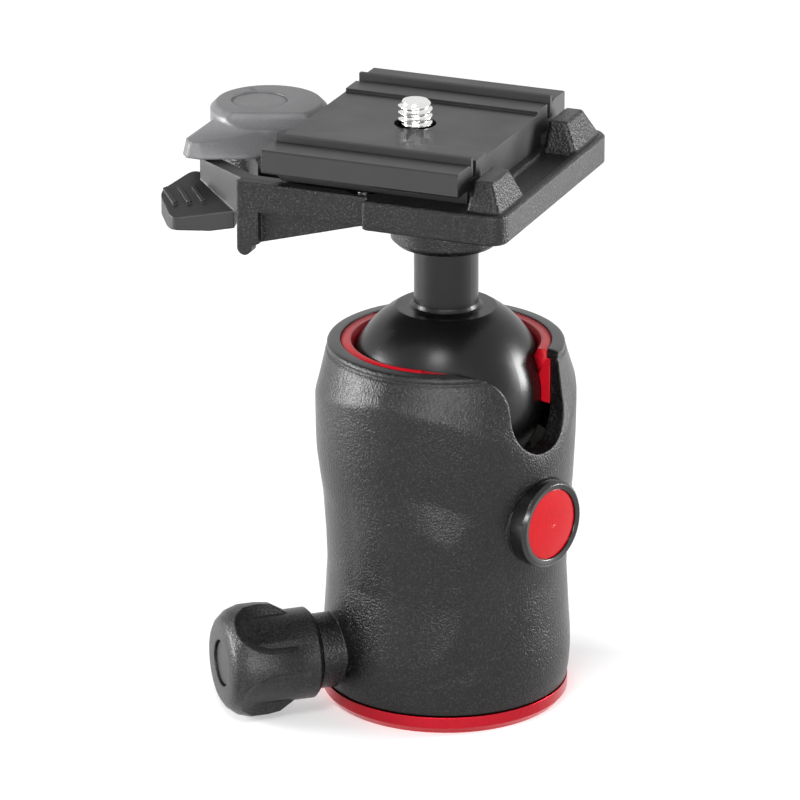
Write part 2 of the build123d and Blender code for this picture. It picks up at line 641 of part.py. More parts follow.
def post(side):
    """One fixed jaw post with the undercut that hooks over the plate's tongue."""
    y0, y1 = side * POST_Y0, side * POST_Y1
    foot_y0, foot_y1 = y0 - side * POST_FOOT, y1 + side * POST_SPREAD
    foot_x0, foot_x1 = POST_X0 - 0.6, POST_X1 + POST_SPREAD
    foot = [(foot_x0, foot_y0), (foot_x1, foot_y0), (foot_x1, foot_y1), (foot_x0, foot_y1)]
    head = [(POST_X0, y0), (POST_X1, y0), (POST_X1, y1), (POST_X0, y1)]
    low = make_face(Polyline(*[(x, y, DECK_Z - 0.5) for x, y in foot], close=True))
    high = make_face(Polyline(*[(x, y, DECK_Z + POST_H) for x, y in head], close=True))
    solid = loft([low, high], ruled=True)
    solid = fillet(solid.edges().filter_by(lambda edge: edge.center().Z > DECK_Z), POST_ROUND)
    lo, hi = sorted((y0, y1 - side * POST_FOOT))
    return solid - block(POST_X0 - 3, POST_X0 + HOOK_DEPTH, lo, hi, DECK_Z, DECK_Z + HOOK_H)


def front_wall():
    """Deep front wall of the wing, with its sloping lower edge, arched recess and end rib."""
    x0, x1, y0 = WING_X, STEP_X, WING_FRONT_Y
    left_top_z, left_low_z, rib_z = DECK_Z - WALL_LEFT_DROP, DECK_Z - WALL_LEFT_H, DECK_Z - RIB_H
    outline = [(x0, left_low_z), (x1, DECK_BOTTOM_Z), (x1, DECK_Z), (x0 + 10, DECK_Z), (x0, left_top_z)]
    face = make_face(Polyline(*[(x, y0, z) for x, z in outline], close=True))
    wall = extrude(face, amount=WALL_T, dir=(0, 1, 0))
    start = (x0 + ARCH_LEFT, y0, DECK_Z - ARCH_LEFT_DROP)
    crown = (x0 + ARCH_CROWN, y0, DECK_Z - ARCH_CROWN_DROP)
    end = (x1 - 0.6, y0, DECK_BOTTOM_Z + 0.6)
    arch = make_face([
        Spline(start, crown, end, tangents=((1, 0, 0.25), (1, 0, -0.75))),
        Polyline(end, (end[0], y0, left_low_z - 2), (start[0], y0, left_low_z - 2), start),
    ])
    wall -= extrude(arch, amount=ARCH_DEPTH, dir=(0, 1, 0))
    rib_t, tip_r = WALL_T + 0.2, RIB_W / 2
    rib = block(x0, x0 + RIB_W, y0, y0 + rib_t, rib_z + tip_r, left_top_z)
    tip = Rot(-90, 0, 0) * Cylinder(tip_r, rib_t, align=(Align.CENTER, Align.CENTER, Align.MIN))
    return wall + rib + Pos(x0 + tip_r, y0, rib_z + tip_r) * tip


def make_qr_body():
    deck = block(STEP_X, JAW_X, -DECK_HALF_Y, DECK_HALF_Y, DECK_BOTTOM_Z, DECK_Z)
    corners = deck.edges().filter_by(Axis.Z).filter_by(lambda e: e.center().X > 0)
    deck = fillet(corners, DECK_CORNER_R)
    deck = chamfer(deck.faces().sort_by(Axis.Z)[-1].edges(), DECK_EDGE)
    deck = chamfer(deck.faces().sort_by(Axis.Z)[0].edges(), DECK_EDGE)
    shelf = POST_Y0 - POST_FOOT
    deck -= block(POST_X0, JAW_X - DECK_RIM_W, -shelf, shelf, DECK_Z - DECK_RIM_H, DECK_Z + 1)
    wing = slab(wing_plan(), DECK_BOTTOM_Z, DECK_Z)
    body = deck + wing
    body += block(STEP_X - 1, STEP_X + 2, WING_FRONT_Y + 1, WING_BACK_Y, DECK_BOTTOM_Z, DECK_Z)
    body += front_wall()
    body += rod(LEVER_BOSS_R, DECK_Z - LEVER_BOSS_T, DECK_Z, HUB_X, HUB_Y)
    edge = NECK_BOSS_EDGE
    body += turned((0, NECK_BOSS_Z), (NECK_BOSS_R - edge, NECK_BOSS_Z), (NECK_BOSS_R, NECK_BOSS_Z + edge),
                   (NECK_BOSS_R, DECK_Z - 1), (0, DECK_Z - 1))
    body += post(1)
    body += post(-1)
    # room for the safety catch behind the front wall
    body -= block(WING_X - 1, CATCH_PIN_X, SLOT_FRONT_Y, SLOT_BACK_Y, SLOT_FLOOR_Z, DECK_Z + 1)
    body -= rod(CATCH_EYE_R + AIR, SLOT_FLOOR_Z, DECK_Z + 1, CATCH_PIN_X, CATCH_PIN_Y)
    body -= rod(CATCH_PIN_R + RUN, DECK_BOTTOM_Z - 3, DECK_Z + 1, CATCH_PIN_X, CATCH_PIN_Y)
    # bores
    body -= rod(STEM_R + RUN, NECK_BOSS_Z - 1, STEM_TOP_Z + SLIP)
    body -= rod(PLATFORM_SCREW_R + RUN, NECK_BOSS_Z, DECK_Z)
    body -= rod(PLATFORM_SCREW_HEAD_R + RUN, DECK_Z - PLATFORM_SCREW_HEAD_T - PLATFORM_SCREW_SUNK, DECK_Z + 1)
    body -= rod(PIVOT_R + RUN, DECK_Z - LEVER_BOSS_T + LEVER_BOSS_FLOOR - SLIP, DECK_Z, HUB_X, HUB_Y)
    body -= rod(LEVER_SPRING_R + 3 * SPRING_WIRE_R, DECK_Z - LEVER_SPRING_H, DECK_Z, HUB_X, HUB_Y)
    body -= rod(PLUNGER_R + RUN, DECK_BOTTOM_Z + 1, DECK_Z, PLUNGER_X, PLUNGER_Y)
    return body


def make_platform_screw():
    top = DECK_Z - PLATFORM_SCREW_SUNK
    head_z = top - PLATFORM_SCREW_HEAD_T
    screw = rod(PLATFORM_SCREW_R, STEM_TOP_Z - PLATFORM_SCREW_GRIP, head_z)
    screw += rod(PLATFORM_SCREW_HEAD_R, head_z, top)
    hexagon = extrude(RegularPolygon(PLATFORM_SCREW_HEX_R, 6), amount=-0.6 * PLATFORM_SCREW_HEAD_T)
    return screw - Pos(0, 0, top) * hexagon


def make_plate():
    """Camera plate: one section along X with lips, grooves and a low centre."""
    half = [(0, PAD_Z), (PAD_Y, PAD_Z), (PAD_Y, LIP_TOP_Z), (GROOVE_Y0, LIP_TOP_Z),
            (GROOVE_Y0, LIP_TOP_Z - GROOVE_DEPTH), (STRIP_Y1, LIP_TOP_Z - GROOVE_DEPTH),
            (STRIP_Y1, LIP_TOP_Z - 0.4), (LIP_Y, LIP_TOP_Z), (PLATE_HALF_Y - 0.3, LIP_TOP_Z),
            (PLATE_HALF_Y, LIP_TOP_Z - 0.3), (PLATE_HALF_Y, LIP_BOTTOM_Z + 0.4),
            (PLATE_HALF_Y - 0.4, LIP_BOTTOM_Z),
            (FOOT_Y, LIP_BOTTOM_Z), (FOOT_Y, DECK_Z)]
    outline = half + [(-y, z) for y, z in reversed(half[1:])]
    face = make_face(Polyline(*[(PLATE_X0, y, z) for y, z in outline], close=True))
    plate = extrude(face, amount=PLATE_X1 - PLATE_X0, dir=(1, 0, 0))
    bevel = make_face(Polyline((PLATE_X0 - 1, 0, DECK_Z - 1), (PLATE_X0 + FOOT_BEVEL + 1, 0, DECK_Z - 1),
                               (PLATE_X0 - 1, 0, DECK_Z + FOOT_BEVEL + 1), close=True))
    plate -= extrude(bevel, amount=DECK_HALF_Y, both=True)
    for side in (1, -1):
        lo, hi = sorted((side * (POST_Y0 + 0.4), side * (POST_Y1 - POST_FOOT - 0.4)))
        plate += block(PLATE_X1 - 1, POST_X0 + HOOK_DEPTH - 0.3, lo, hi, DECK_Z, DECK_Z + HOOK_H - 0.2)
    plate -= rod(CAMERA_HOLE_R, DECK_Z, LIP_TOP_Z, SCREW_X)
    plate -= rod(CAMERA_HEAD_R + AIR, DECK_Z - 1, DECK_Z + CAMERA_HEAD_T + CLIP_T + 0.2, SCREW_X)
    return plate


def make_grip_strips():
    low, high = LIP_TOP_Z - GROOVE_DEPTH, LIP_TOP_Z + STRIP_PROUD
    front = block(PLATE_X0, PLATE_X1, -STRIP_Y1, -STRIP_Y0, low, high)
    back = block(PLATE_X0, PLATE_X1, STRIP_Y0, STRIP_Y1, low, high)
    return Part() + [front, back]


def make_camera_screw():
    low, thread_z = DECK_Z + SLIP, PAD_Z + CAMERA_NECK_PROUD
    head_top, top = low + CAMERA_HEAD_T, PAD_Z + CAMERA_SCREW_PROUD
    screw = turned((0, low), (CAMERA_HEAD_R, low), (CAMERA_HEAD_R, head_top), (CAMERA_NECK_R, head_top),
                   (CAMERA_NECK_R, thread_z), (CAMERA_SCREW_R, thread_z),
                   (CAMERA_SCREW_R, top - CAMERA_SCREW_EDGE), (CAMERA_SCREW_R - CAMERA_SCREW_EDGE, top),
                   (0, top))
    half = COIN_SLOT_W / 2
    screw -= block(-CAMERA_HEAD_R, CAMERA_HEAD_R, -half, half, low, low + COIN_SLOT_DEPTH)
    return Pos(SCREW_X, 0, 0) * screw


def make_screw_clip():
    """Open clip round the neck that keeps the camera screw in the plate."""
    low = DECK_Z + SLIP + CAMERA_HEAD_T + SLIP
    high = low + CLIP_T - SLIP
    clip = rod(CAMERA_HEAD_R + AIR - RUN, low, high, SCREW_X)
    clip -= rod(CAMERA_NECK_R + RUN, low, high, SCREW_X)
    return clip - block(SCREW_X, SCREW_X + CAMERA_HEAD_R + 1, -CLIP_MOUTH / 2, CLIP_MOUTH / 2, low, high)


# ---- Cam lever ----
def lever_handle():
    """Short beak that the thumb pulls, drawn in from its foot to its top."""
    side, tip, w, c, d = HANDLE_SIDE_X, HANDLE_TIP_Y, HANDLE_TIP_W, HANDLE_CORNER, HANDLE_DRAFT
    root = HUB_X + HUB_SHIFT
    foot = [(side, HUB_Y), (side, tip + c), (side + c * 0.8, tip), (side + c * 0.8 + w, tip),
            (HANDLE_HEEL_X, HANDLE_HEEL_Y), (root + HUB_R * 0.85, HUB_Y - HUB_R * 0.5)]
    top = [(side + d, HUB_Y), (side + d, tip + c + d), (side + c * 0.8 + d / 2, tip + 2 * d),
           (side + c * 0.8 + w - d, tip + 2 * d), (HANDLE_RIDGE_X, HANDLE_RIDGE_Y),
           (root + HUB_R * 0.3, HUB_Y - HUB_R * 0.88)]
    low = make_face(Polyline(*[(x, y, DECK_Z + SLIP) for x, y in foot], close=True))
    high = make_face(Polyline(*[(x, y, DECK_Z + HANDLE_H) for x, y in top], close=True))
    return loft([low, high], ruled=True)


def make_cam_lever():
    low, edge = DECK_Z + SLIP, HUB_EDGE
    hub = turned((0, low), (HUB_R, low), (HUB_R, HUB_TOP_Z - edge), (HUB_R - edge, HUB_TOP_Z), (0, HUB_TOP_Z))
    # the top is cut back over the handle, down to a low step
    reach, step_z = HUB_CROWN_REACH, DECK_Z + HUB_STEP_H
    front = make_face(Polyline((reach, 0, HUB_TOP_Z), (reach + edge / 2, 0, HUB_TOP_Z - edge),
                               (reach + 2 * edge, 0, step_z), (2 * HUB_R, 0, step_z),
                               (2 * HUB_R, 0, HUB_TOP_Z), close=True))
    hub -= Rot(0, 0, HUB_FRONT_TURN) * extrude(front, amount=HUB_R + 1, dir=(0, 1, 0), both=True)
    lever = Pos(HUB_X + HUB_SHIFT, HUB_Y, 0) * hub + lever_handle()
    lever -= rod(CAP_R + RUN, PIVOT_TOP_Z, HUB_TOP_Z, HUB_X, HUB_Y)
    lever -= rod(PIVOT_HEAD_R + RUN, PIVOT_TOP_Z - PIVOT_HEAD_T - SLIP, HUB_TOP_Z - CAP_T, HUB_X, HUB_Y)
    return lever - rod(PIVOT_R + RUN, low - 1, HUB_TOP_Z, HUB_X, HUB_Y)


def make_lever_cap():
    return rod(CAP_R, PIVOT_TOP_Z, PIVOT_TOP_Z + CAP_T, HUB_X, HUB_Y)


def make_lever_pivot():
    head_z = PIVOT_TOP_Z - PIVOT_HEAD_T
    pin = rod(PIVOT_R, DECK_Z - LEVER_BOSS_T + LEVER_BOSS_FLOOR, head_z, HUB_X, HUB_Y)
    return pin + rod(PIVOT_HEAD_R, head_z, PIVOT_TOP_Z - SLIP, HUB_X, HUB_Y)


def make_lever_spring():
    return coil(LEVER_SPRING_R, SPRING_WIRE_R, DECK_Z - LEVER_SPRING_H, DECK_Z - 0.2, 2.5, HUB_X, HUB_Y)


# ---- Safety catch ----
def catch_tab():
    """Thumb tab that slopes down to the front, with ribs across it."""
    fin_slope = (CATCH_END_Y - CATCH_FRONT_Y) / (CATCH_END_X - CATCH_BEND_X)
    root_y = CATCH_END_Y + (TAB_ROOT_X - CATCH_END_X) * fin_slope
    outline = [(TAB_ROOT_X, root_y), (TAB_FRONT_X, TAB_FRONT_Y), (TAB_LEFT_X, TAB_LEFT_Y),
               (TAB_BACK_X, TAB_BACK_Y), (TAB_ROOT_X, root_y + 0.6 * CATCH_ARM_W)]
    column = slab(outline, DECK_BOTTOM_Z - 2 * TAB_T, CATCH_TOP_Z)
    corners = column.edges().filter_by(Axis.Z).filter_by(lambda e: e.center().X < TAB_FRONT_X + 1)
    column = fillet(corners, TAB_CORNER_R)
    lay = Pos(TAB_FRONT_X, TAB_BACK_Y, DECK_Z - TAB_DROP) * Rot(TAB_SLOPE, 0, 0)
    sheet = Box(40, 40, TAB_T, align=(Align.CENTER, Align.CENTER, Align.MAX))
    tab = column & (lay * sheet)
    for step in range(TAB_RIBS):
        across = (step - 1) * TAB_RIB_PITCH
        rib = Box(TAB_RIB_L, TAB_RIB_W, 2 * TAB_RIB_H)
        tab += lay * Pos(across + 0.3, across * 0.25 - 7.6, 0) * Rot(0, 0, -45) * rib
    return tab


def make_safety_catch():
    low, front, w = CATCH_LOW_Z, CATCH_FRONT_Y, CATCH_ARM_W
    end_x, end_y, bend_x = CATCH_END_X, CATCH_END_Y, CATCH_BEND_X
    arm = slab([(CATCH_PIN_X, front), (bend_x, front), (end_x, end_y), (end_x - 0.3 * w, end_y + 1.1 * w),
                (end_x + 0.5 * w, end_y + 0.8 * w), (bend_x + 0.2 * w, front + w), (CATCH_PIN_X, front + w)],
               low, CATCH_TOP_Z)
    fin_x = WING_X - AIR
    fin_y = end_y + (fin_x - end_x) * (end_y - front) / (end_x - bend_x)
    fin = slab([(fin_x, fin_y), (end_x, end_y), (end_x + 0.2 * w, end_y + 0.6 * w), (fin_x, fin_y + 0.6 * w)],
               DECK_Z - TAB_DROP - 1.6 * TAB_T, low + 1)
    catch = rod(CATCH_EYE_R, low, CATCH_TOP_Z, CATCH_PIN_X, CATCH_PIN_Y) + arm + fin + catch_tab()
    pocket_r = CATCH_SPRING_R + 1.4 * CATCH_SPRING_WIRE_R
    catch -= rod(pocket_r, low - 1, SLOT_FLOOR_Z + CATCH_SPRING_H + 0.2, CATCH_PIN_X, CATCH_PIN_Y)
    return catch - rod(CATCH_PIN_R + RUN, low - 1, CATCH_TOP_Z + 1, CATCH_PIN_X, CATCH_PIN_Y)


def make_catch_pin():
    return rod(CATCH_PIN_R, DECK_BOTTOM_Z - 1.2, CATCH_TOP_Z + 0.2, CATCH_PIN_X, CATCH_PIN_Y)


def make_catch_spring():
    """Torsion spring round the pin, in the pocket of the catch's eye."""
    return coil(CATCH_SPRING_R, CATCH_SPRING_WIRE_R, SLOT_FLOOR_Z, SLOT_FLOOR_Z + CATCH_SPRING_H, 2.5,
                CATCH_PIN_X, CATCH_PIN_Y)


# ---- Trigger plunger ----
def make_trigger_plunger():
    return rod(PLUNGER_R, DECK_Z - SLIP - PLUNGER_L, DECK_Z - SLIP, PLUNGER_X, PLUNGER_Y)


def make_plunger_spring():
    wire = 0.25
    low, high = DECK_BOTTOM_Z + 1 + 0.02, DECK_Z - SLIP - PLUNGER_L - 0.02
    return coil(PLUNGER_R - 2.4 * wire, wire, low, high, 2.5, PLUNGER_X, PLUNGER_Y)


# ---- Writing the files ----
FIXED_PIECES = {
    "base_disc": make_base_disc,
    "thread_bush": make_thread_bush,
    "base_screws": make_base_screws,
    "pan_spindle": make_pan_spindle,
    "slip_washer": make_slip_washer,
    "spindle_nut": make_spindle_nut,
    "housing": make_housing,
    "bearing_block": make_bearing_block,
    "block_ring": make_block_ring,
    "upper_liner": make_upper_liner,
    "slip_liner": make_slip_liner,
    "lower_seat": make_lower_seat,
    "seat_lifter": make_seat_lifter,
    "lock_bush": make_lock_bush,
    "lock_shaft": make_lock_shaft,
    "lock_knob": make_lock_knob,
    "friction_dial": make_friction_dial,
    "pan_lock_screw": make_pan_screw,
    "pan_brake_pad": make_brake_pad,
    "pan_lock_knob": make_pan_knob,
    "pan_knob_cap": make_pan_knob_cap,
    "badge_bezel": make_badge_bezel,
    "badge_disc": make_badge_disc,
    "ball": make_ball,
}
PLATFORM_PIECES = {
    "platform_body": make_qr_body,
    "platform_screw": make_platform_screw,
    "camera_plate": make_plate,
    "grip_strips": make_grip_strips,
    "camera_screw": make_camera_screw,
    "screw_clip": make_screw_clip,
    "cam_lever": make_cam_lever,
    "lever_cap": make_lever_cap,
    "lever_pivot": make_lever_pivot,
    "lever_spring": make_lever_spring,
    "safety_catch": make_safety_catch,
    "catch_pin": make_catch_pin,
    "catch_spring": make_catch_spring,
    "trigger_plunger": make_trigger_plunger,
    "plunger_spring": make_plunger_spring,
}

os.makedirs("parts", exist_ok=True)
for name, make in FIXED_PIECES.items():
    export_step(make(), f"parts/{name}.step")
for name, make in PLATFORM_PIECES.items():
    export_step(Rot(0, 0, PLATFORM_YAW) * make(), f"parts/{name}.step")
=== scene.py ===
# %% [markdown]
# # A tripod ball head, dressed for its picture
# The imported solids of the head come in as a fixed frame, in metres, with +Z up along the tripod
# thread. Everything here is either a finish laid on one of those solids or a finer piece that
# stands in for one. A piece rides on the body it belongs to, so it turns with the joints.

# %% Load the frame
import math

import bmesh
import bpy
import numpy as np
from mathutils import Matrix, Vector


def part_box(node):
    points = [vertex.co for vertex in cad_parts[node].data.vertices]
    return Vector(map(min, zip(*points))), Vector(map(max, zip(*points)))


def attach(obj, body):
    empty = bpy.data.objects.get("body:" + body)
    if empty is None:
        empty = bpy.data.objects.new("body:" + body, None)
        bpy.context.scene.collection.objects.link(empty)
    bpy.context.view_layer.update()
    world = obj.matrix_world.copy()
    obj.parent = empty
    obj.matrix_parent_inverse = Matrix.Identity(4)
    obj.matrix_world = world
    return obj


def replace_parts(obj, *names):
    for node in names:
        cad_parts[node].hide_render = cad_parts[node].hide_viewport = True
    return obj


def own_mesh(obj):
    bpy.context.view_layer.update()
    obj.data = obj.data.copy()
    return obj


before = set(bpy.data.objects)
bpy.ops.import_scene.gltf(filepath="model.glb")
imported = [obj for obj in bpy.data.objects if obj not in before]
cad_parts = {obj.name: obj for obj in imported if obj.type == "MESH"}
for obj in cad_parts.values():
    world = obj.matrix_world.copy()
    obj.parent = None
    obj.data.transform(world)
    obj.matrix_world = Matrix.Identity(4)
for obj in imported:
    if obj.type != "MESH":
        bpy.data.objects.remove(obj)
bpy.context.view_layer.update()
MM = 0.001
print("pieces in the frame:", len(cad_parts))

# %% [markdown]
# ## Colours and nodes
# A colour is easiest to read off the real thing as an sRGB hex value, but a shader works in linear
# light, so one function converts it. Building a material is mostly adding nodes, so one small
# function adds a node, sets its properties and fills or links its inputs. Every tree starts empty.

# %% Helpers for materials
# the lighter grey painted on the coating's grain crests as a glint, over a near black
COATING_GLINT_GREY = "#2c2c2e"


def linear(hex_colour):
    """sRGB hex to a linear RGBA value."""
    parts = [int(hex_colour[i:i + 2], 16) / 255 for i in (1, 3, 5)]
    return [c / 12.92 if c <= 0.04045 else ((c + 0.055) / 1.055) ** 2.4 for c in parts] + [1.0]


def add(tree, kind, inputs=None, **settings):
    """A node with its settings, its inputs filled with values or linked to sockets."""
    node = tree.nodes.new(kind)
    for key, value in settings.items():
        setattr(node, key, value)
    for key, value in (inputs or {}).items():
        if isinstance(value, bpy.types.NodeSocket):
            tree.links.new(value, node.inputs[key])
        else:
            node.inputs[key].default_value = value
    return node


def empty_tree(owner):
    """Node tree of a material or a world, cleared of its first nodes."""
    owner.use_nodes = True
    owner.node_tree.nodes.clear()
    return owner.node_tree


print("coating black in linear light:", [round(c, 4) for c in linear(COATING_GLINT_GREY)])

# %% [markdown]
# ## Grained surfaces
# Most of the head is black, so its pieces are told apart by their grain and gloss. Every grained
# finish here is built alike: a fine noise tilts the surface a little, a broader noise varies the
# gloss as handling and moulding do, and a rounded-edge normal lets edges catch the light as real
# broken edges do. The fine noise also paints the colour lighter on its crests and darker in its
# pits: a painted glint, strong on the coated castings and the knobs and faint on the rest. The
# pattern is in millimetres on Object coordinates, so it stays put on the piece.

# %% A grained finish
CLOUD_MM = 9.0
GLOSS_SPREAD = (-0.03, 0.05)


def grained(name, colour, dark, grain_mm, height_mm, rough, edge_mm=0.25, crest=(0.3, 0.7), **shader):
    """Material with a fine relief, its colour painted from the dark hex value in the grain's pits up to
    the other on its crests, a painted glint where the two differ much.
    """
    material = bpy.data.materials.new(name)
    tree = empty_tree(material)
    place = add(tree, "ShaderNodeTexCoord").outputs["Object"]
    grain = add(tree, "ShaderNodeTexNoise",
                {"Vector": place, "Scale": 1 / (grain_mm * MM), "Detail": 2.0, "Roughness": 0.6})
    cloud = add(tree, "ShaderNodeTexNoise",
                {"Vector": place, "Scale": 1 / (CLOUD_MM * MM), "Detail": 3.0})
    # the colour is painted lighter on the grain's crests and darker in its pits: a painted glint, strong
    # where the two values differ much, as on the coated castings and the knobs
    top = add(tree, "ShaderNodeMapRange",
              {"Value": grain.outputs["Fac"], "From Min": crest[0], "From Max": crest[1]})
    tint = add(tree, "ShaderNodeMix",
               {"Factor": top.outputs["Result"], "A": linear(dark), "B": linear(colour)},
               data_type="RGBA")
    gloss = add(tree, "ShaderNodeMapRange",
                {"Value": cloud.outputs["Fac"], "From Min": 0.3, "From Max": 0.7,
                 "To Min": rough + GLOSS_SPREAD[0], "To Max": rough + GLOSS_SPREAD[1]})
    edge = add(tree, "ShaderNodeBevel", {"Radius": edge_mm * MM}, samples=6)
    relief = add(tree, "ShaderNodeBump",
                 {"Height": grain.outputs["Fac"], "Distance": height_mm * MM, "Strength": 1.0,
                  "Normal": edge.outputs["Normal"]})
    surface = add(tree, "ShaderNodeBsdfPrincipled",
                  {"Base Color": tint.outputs["Result"], "Roughness": gloss.outputs["Result"],
                   "Normal": relief.outputs["Normal"], **shader})
    add(tree, "ShaderNodeOutputMaterial", {"Surface": surface.outputs["BSDF"]})
    print("finish:", name)
    return material


# %% [markdown]
# ## The finishes
# The housing and the platform are light-alloy castings under a black textured coating, sprayed and
# baked: a sandy relief of about half a millimetre that glitters at its crests, partly by its real
# relief and gloss and partly by a painted glint, a lighter grey put on the crests over near black.
# The ball and stem are turned and hard anodised, smooth and satin. The plate is anodised too, a
# little greyer. The base disc is bright-turned and dyed red. The small parts are moulded in
# glass-filled nylon, which shows a faint grain, and the knobs are moulded with a coarser grain that
# the fingers hold, with the same painted glint on its crests. Turned metal and smooth plastic have a
# grain of a few hundredths of a millimetre, too fine to show, so it is drawn at 0.2 mm or more and
# very shallow.

# %% Coated castings
# over the top of the grain the coated castings' colour is painted up to a lighter grey: a painted glint
COATED = {"crest": (0.5, 0.8), "Specular IOR Level": 0.32}
# sandy coating with a real relief, painted a lighter grey on its crests as a glint over near black in its
# pits
casting_coat = grained("textured_coating_on_cast_housing", COATING_GLINT_GREY, "#050505", 0.42, 0.15, 0.29,
                       edge_mm=0.5, **COATED)
platform_coat = grained("textured_coating_on_cast_platform", COATING_GLINT_GREY, "#050505", 0.42, 0.17, 0.29,
                        edge_mm=0.6, **COATED)
# the rim's flat top is turned before it is coated, so it is smooth with a soft sheen; its grey, lighter
# than the casting's coat, is painted light on the up-facing top
smooth_rim_painted_light = grained("smooth_coating_on_rim", "#2b2b2d", "#262628", 0.3, 0.006, 0.34, edge_mm=0.4)

# %% Anodised and turned metal
# dyed oxide over turned alloy: deep black and satin, then greyer and duller on the plate
ball_finish = grained("hard_anodised_turned_ball", "#0a0a0b", "#080809", 0.25, 0.002, 0.28, edge_mm=0.3,
                      **{"Specular IOR Level": 0.3})
plate_finish = grained("satin_anodised_plate", "#141416", "#101012", 0.2, 0.004, 0.4, edge_mm=0.2)
# clear dyed oxide: the metal mirrors through it in red, under a thin gloss
base_finish = grained("red_anodised_turned_disc", "#b81024", "#a60d1f", 0.3, 0.003, 0.28, edge_mm=0.25,
                      Metallic=1.0, **{"Coat Weight": 0.3, "Coat Roughness": 0.15})
# bare metals, told apart by their tint: cold steel, warm brass and grey aluminium
steel_finish = grained("zinc_plated_steel", "#c9c9c6", "#bdbdba", 0.2, 0.002, 0.26, edge_mm=0.1,
                       Metallic=1.0)
thread_steel = grained("bright_rolled_steel_thread", "#e6e6e4", "#dcdcda", 0.2, 0.001, 0.2, edge_mm=0.08,
                       Metallic=1.0)
brass_finish = grained("machined_brass", "#c9a050", "#bd9446", 0.2, 0.002, 0.3, edge_mm=0.1, Metallic=1.0)
alloy_finish = grained("machined_aluminium", "#c4c4c6", "#b6b6b8", 0.2, 0.002, 0.34, edge_mm=0.1,
                       Metallic=1.0)

# %% Moulded plastics and rubber
# nylon from a lightly etched mould, grey on the lever and black on the small parts
lever_nylon = grained("glass_filled_nylon_lever", "#666668", "#5a5a5c", 0.35, 0.02, 0.38, edge_mm=0.9)
black_nylon = grained("glass_filled_nylon_black", "#131314", "#0e0e0f", 0.35, 0.02, 0.38, edge_mm=0.4)
# a mould etched deep, so the knobs sparkle almost as the castings do: a real relief with a painted glint,
# a lighter grey on its crests
knob_skin = grained("textured_knob_skin", "#343435", "#0e0e0f", 0.38, 0.12, 0.32, edge_mm=0.4,
                    crest=(0.45, 0.8), **{"Specular IOR Level": 0.35})
# rubber is the one dull finish
strip_rubber = grained("rubber_grip_strip", "#151515", "#101010", 0.3, 0.02, 0.6, edge_mm=0.3)
# acetal is smooth and waxy, dyed red for the liner that shows and white inside
liner_acetal = grained("red_acetal_liner", "#b80e1e", "#aa0c1a", 0.4, 0.006, 0.34, edge_mm=0.2,
                       **{"Specular IOR Level": 0.3})
white_acetal = grained("white_acetal", "#dcdcd6", "#d2d2cc", 0.4, 0.006, 0.4, edge_mm=0.2)
# polished plastics round and on the badge, with clear small highlights
bezel_gloss = grained("gloss_black_bezel", "#0e0e0f", "#0c0c0d", 0.5, 0.002, 0.2, edge_mm=0.3)
badge_dome = grained("clear_coated_red_disc", "#a80510", "#9c040e", 0.8, 0.001, 0.1, edge_mm=0.3,
                     **{"Specular IOR Level": 0.22})

# %% [markdown]
# ## Dressing the frame
# Each solid from the frame gets the finish of its real counterpart. Pieces that are sealed inside
# get theirs too, since a reader may open the model up.

# %% Finishes on the solids
FINISHES = {
    casting_coat: ["housing"],
    platform_coat: ["platform_body"],
    ball_finish: ["ball"],
    plate_finish: ["camera_plate"],
    base_finish: ["base_disc"],
    steel_finish: ["thread_bush", "base_screws", "pan_spindle", "spindle_nut", "block_ring",
                   "seat_lifter", "lock_shaft", "pan_lock_screw", "platform_screw", "camera_screw",
                   "screw_clip", "lever_pivot", "lever_spring", "catch_pin", "catch_spring",
                   "plunger_spring"],
    brass_finish: ["lock_bush", "trigger_plunger"],
    alloy_finish: ["bearing_block"],
    lever_nylon: ["cam_lever", "lever_cap"],
    black_nylon: ["safety_catch", "friction_dial", "pan_knob_cap"],
    knob_skin: ["lock_knob", "pan_lock_knob"],
    strip_rubber: ["grip_strips"],
    liner_acetal: ["upper_liner"],
    white_acetal: ["slip_washer", "slip_liner", "lower_seat", "pan_brake_pad"],
    bezel_gloss: ["badge_bezel"],
    badge_dome: ["badge_disc"],
}
for finish, names in FINISHES.items():
    for name in names:
        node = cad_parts[name]
        node.data.materials.clear()
        node.data.materials.append(finish)
print("dressed:", sum(len(names) for names in FINISHES.values()), "of", len(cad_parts))

# %% [markdown]
# ## The sculpted housing
# The housing is a casting whose skin isn't a plain turned shape. A soft ridge runs round the
# shoulder, high at the sides and falling towards the drop notch, and everything above it leans in
# to the rim. The flank with the pan lock has a long grip, a D lying on its side, which sinks in
# towards the back and rises towards the front, with a sloping band round it. So the wall is spun as
# a plain ring first, and then one formula gives the radius its outer skin moves to. The outlines of
# the grip are measured in degrees of azimuth and millimetres of height.

# %% Outlines of the grip and the ridge
KNOB_AZIMUTH = -120.0
WALL_FOOT, RIM_TOP, MEAN_R = 3.7, 70.2, 23.5
GRIP_OUTER = [(-230, 41), (-180, 43.2), (-139, 44.5), (-104, 48.6), (-83, 49.1), (-72, 47.6),
              (-52, 46.1), (-37, 43.2), (-27, 38.2), (-21.4, 33.9), (-17.5, 27.6), (-15.7, 21.6),
              (-21.4, 18), (-32, 14.7), (-52, 11.1), (-61, 9.9), (-100, 8.0), (-230, 8.0)]
GRIP_INNER = [(-230, 36), (-180, 37.5), (-126, 39), (-96, 41), (-75, 40.5), (-57, 39.9), (-47, 38.0),
              (-42, 33.5), (-41.6, 28.0), (-45, 18.9), (-52, 14.5), (-66, 12.0), (-100, 10.5),
              (-230, 10.5)]
GRIP_RELIEF = [(-112, -0.7), (-98, -0.6), (-75, 0.5), (-52, 1.5), (-35, 1.6), (-20, 1.2)]
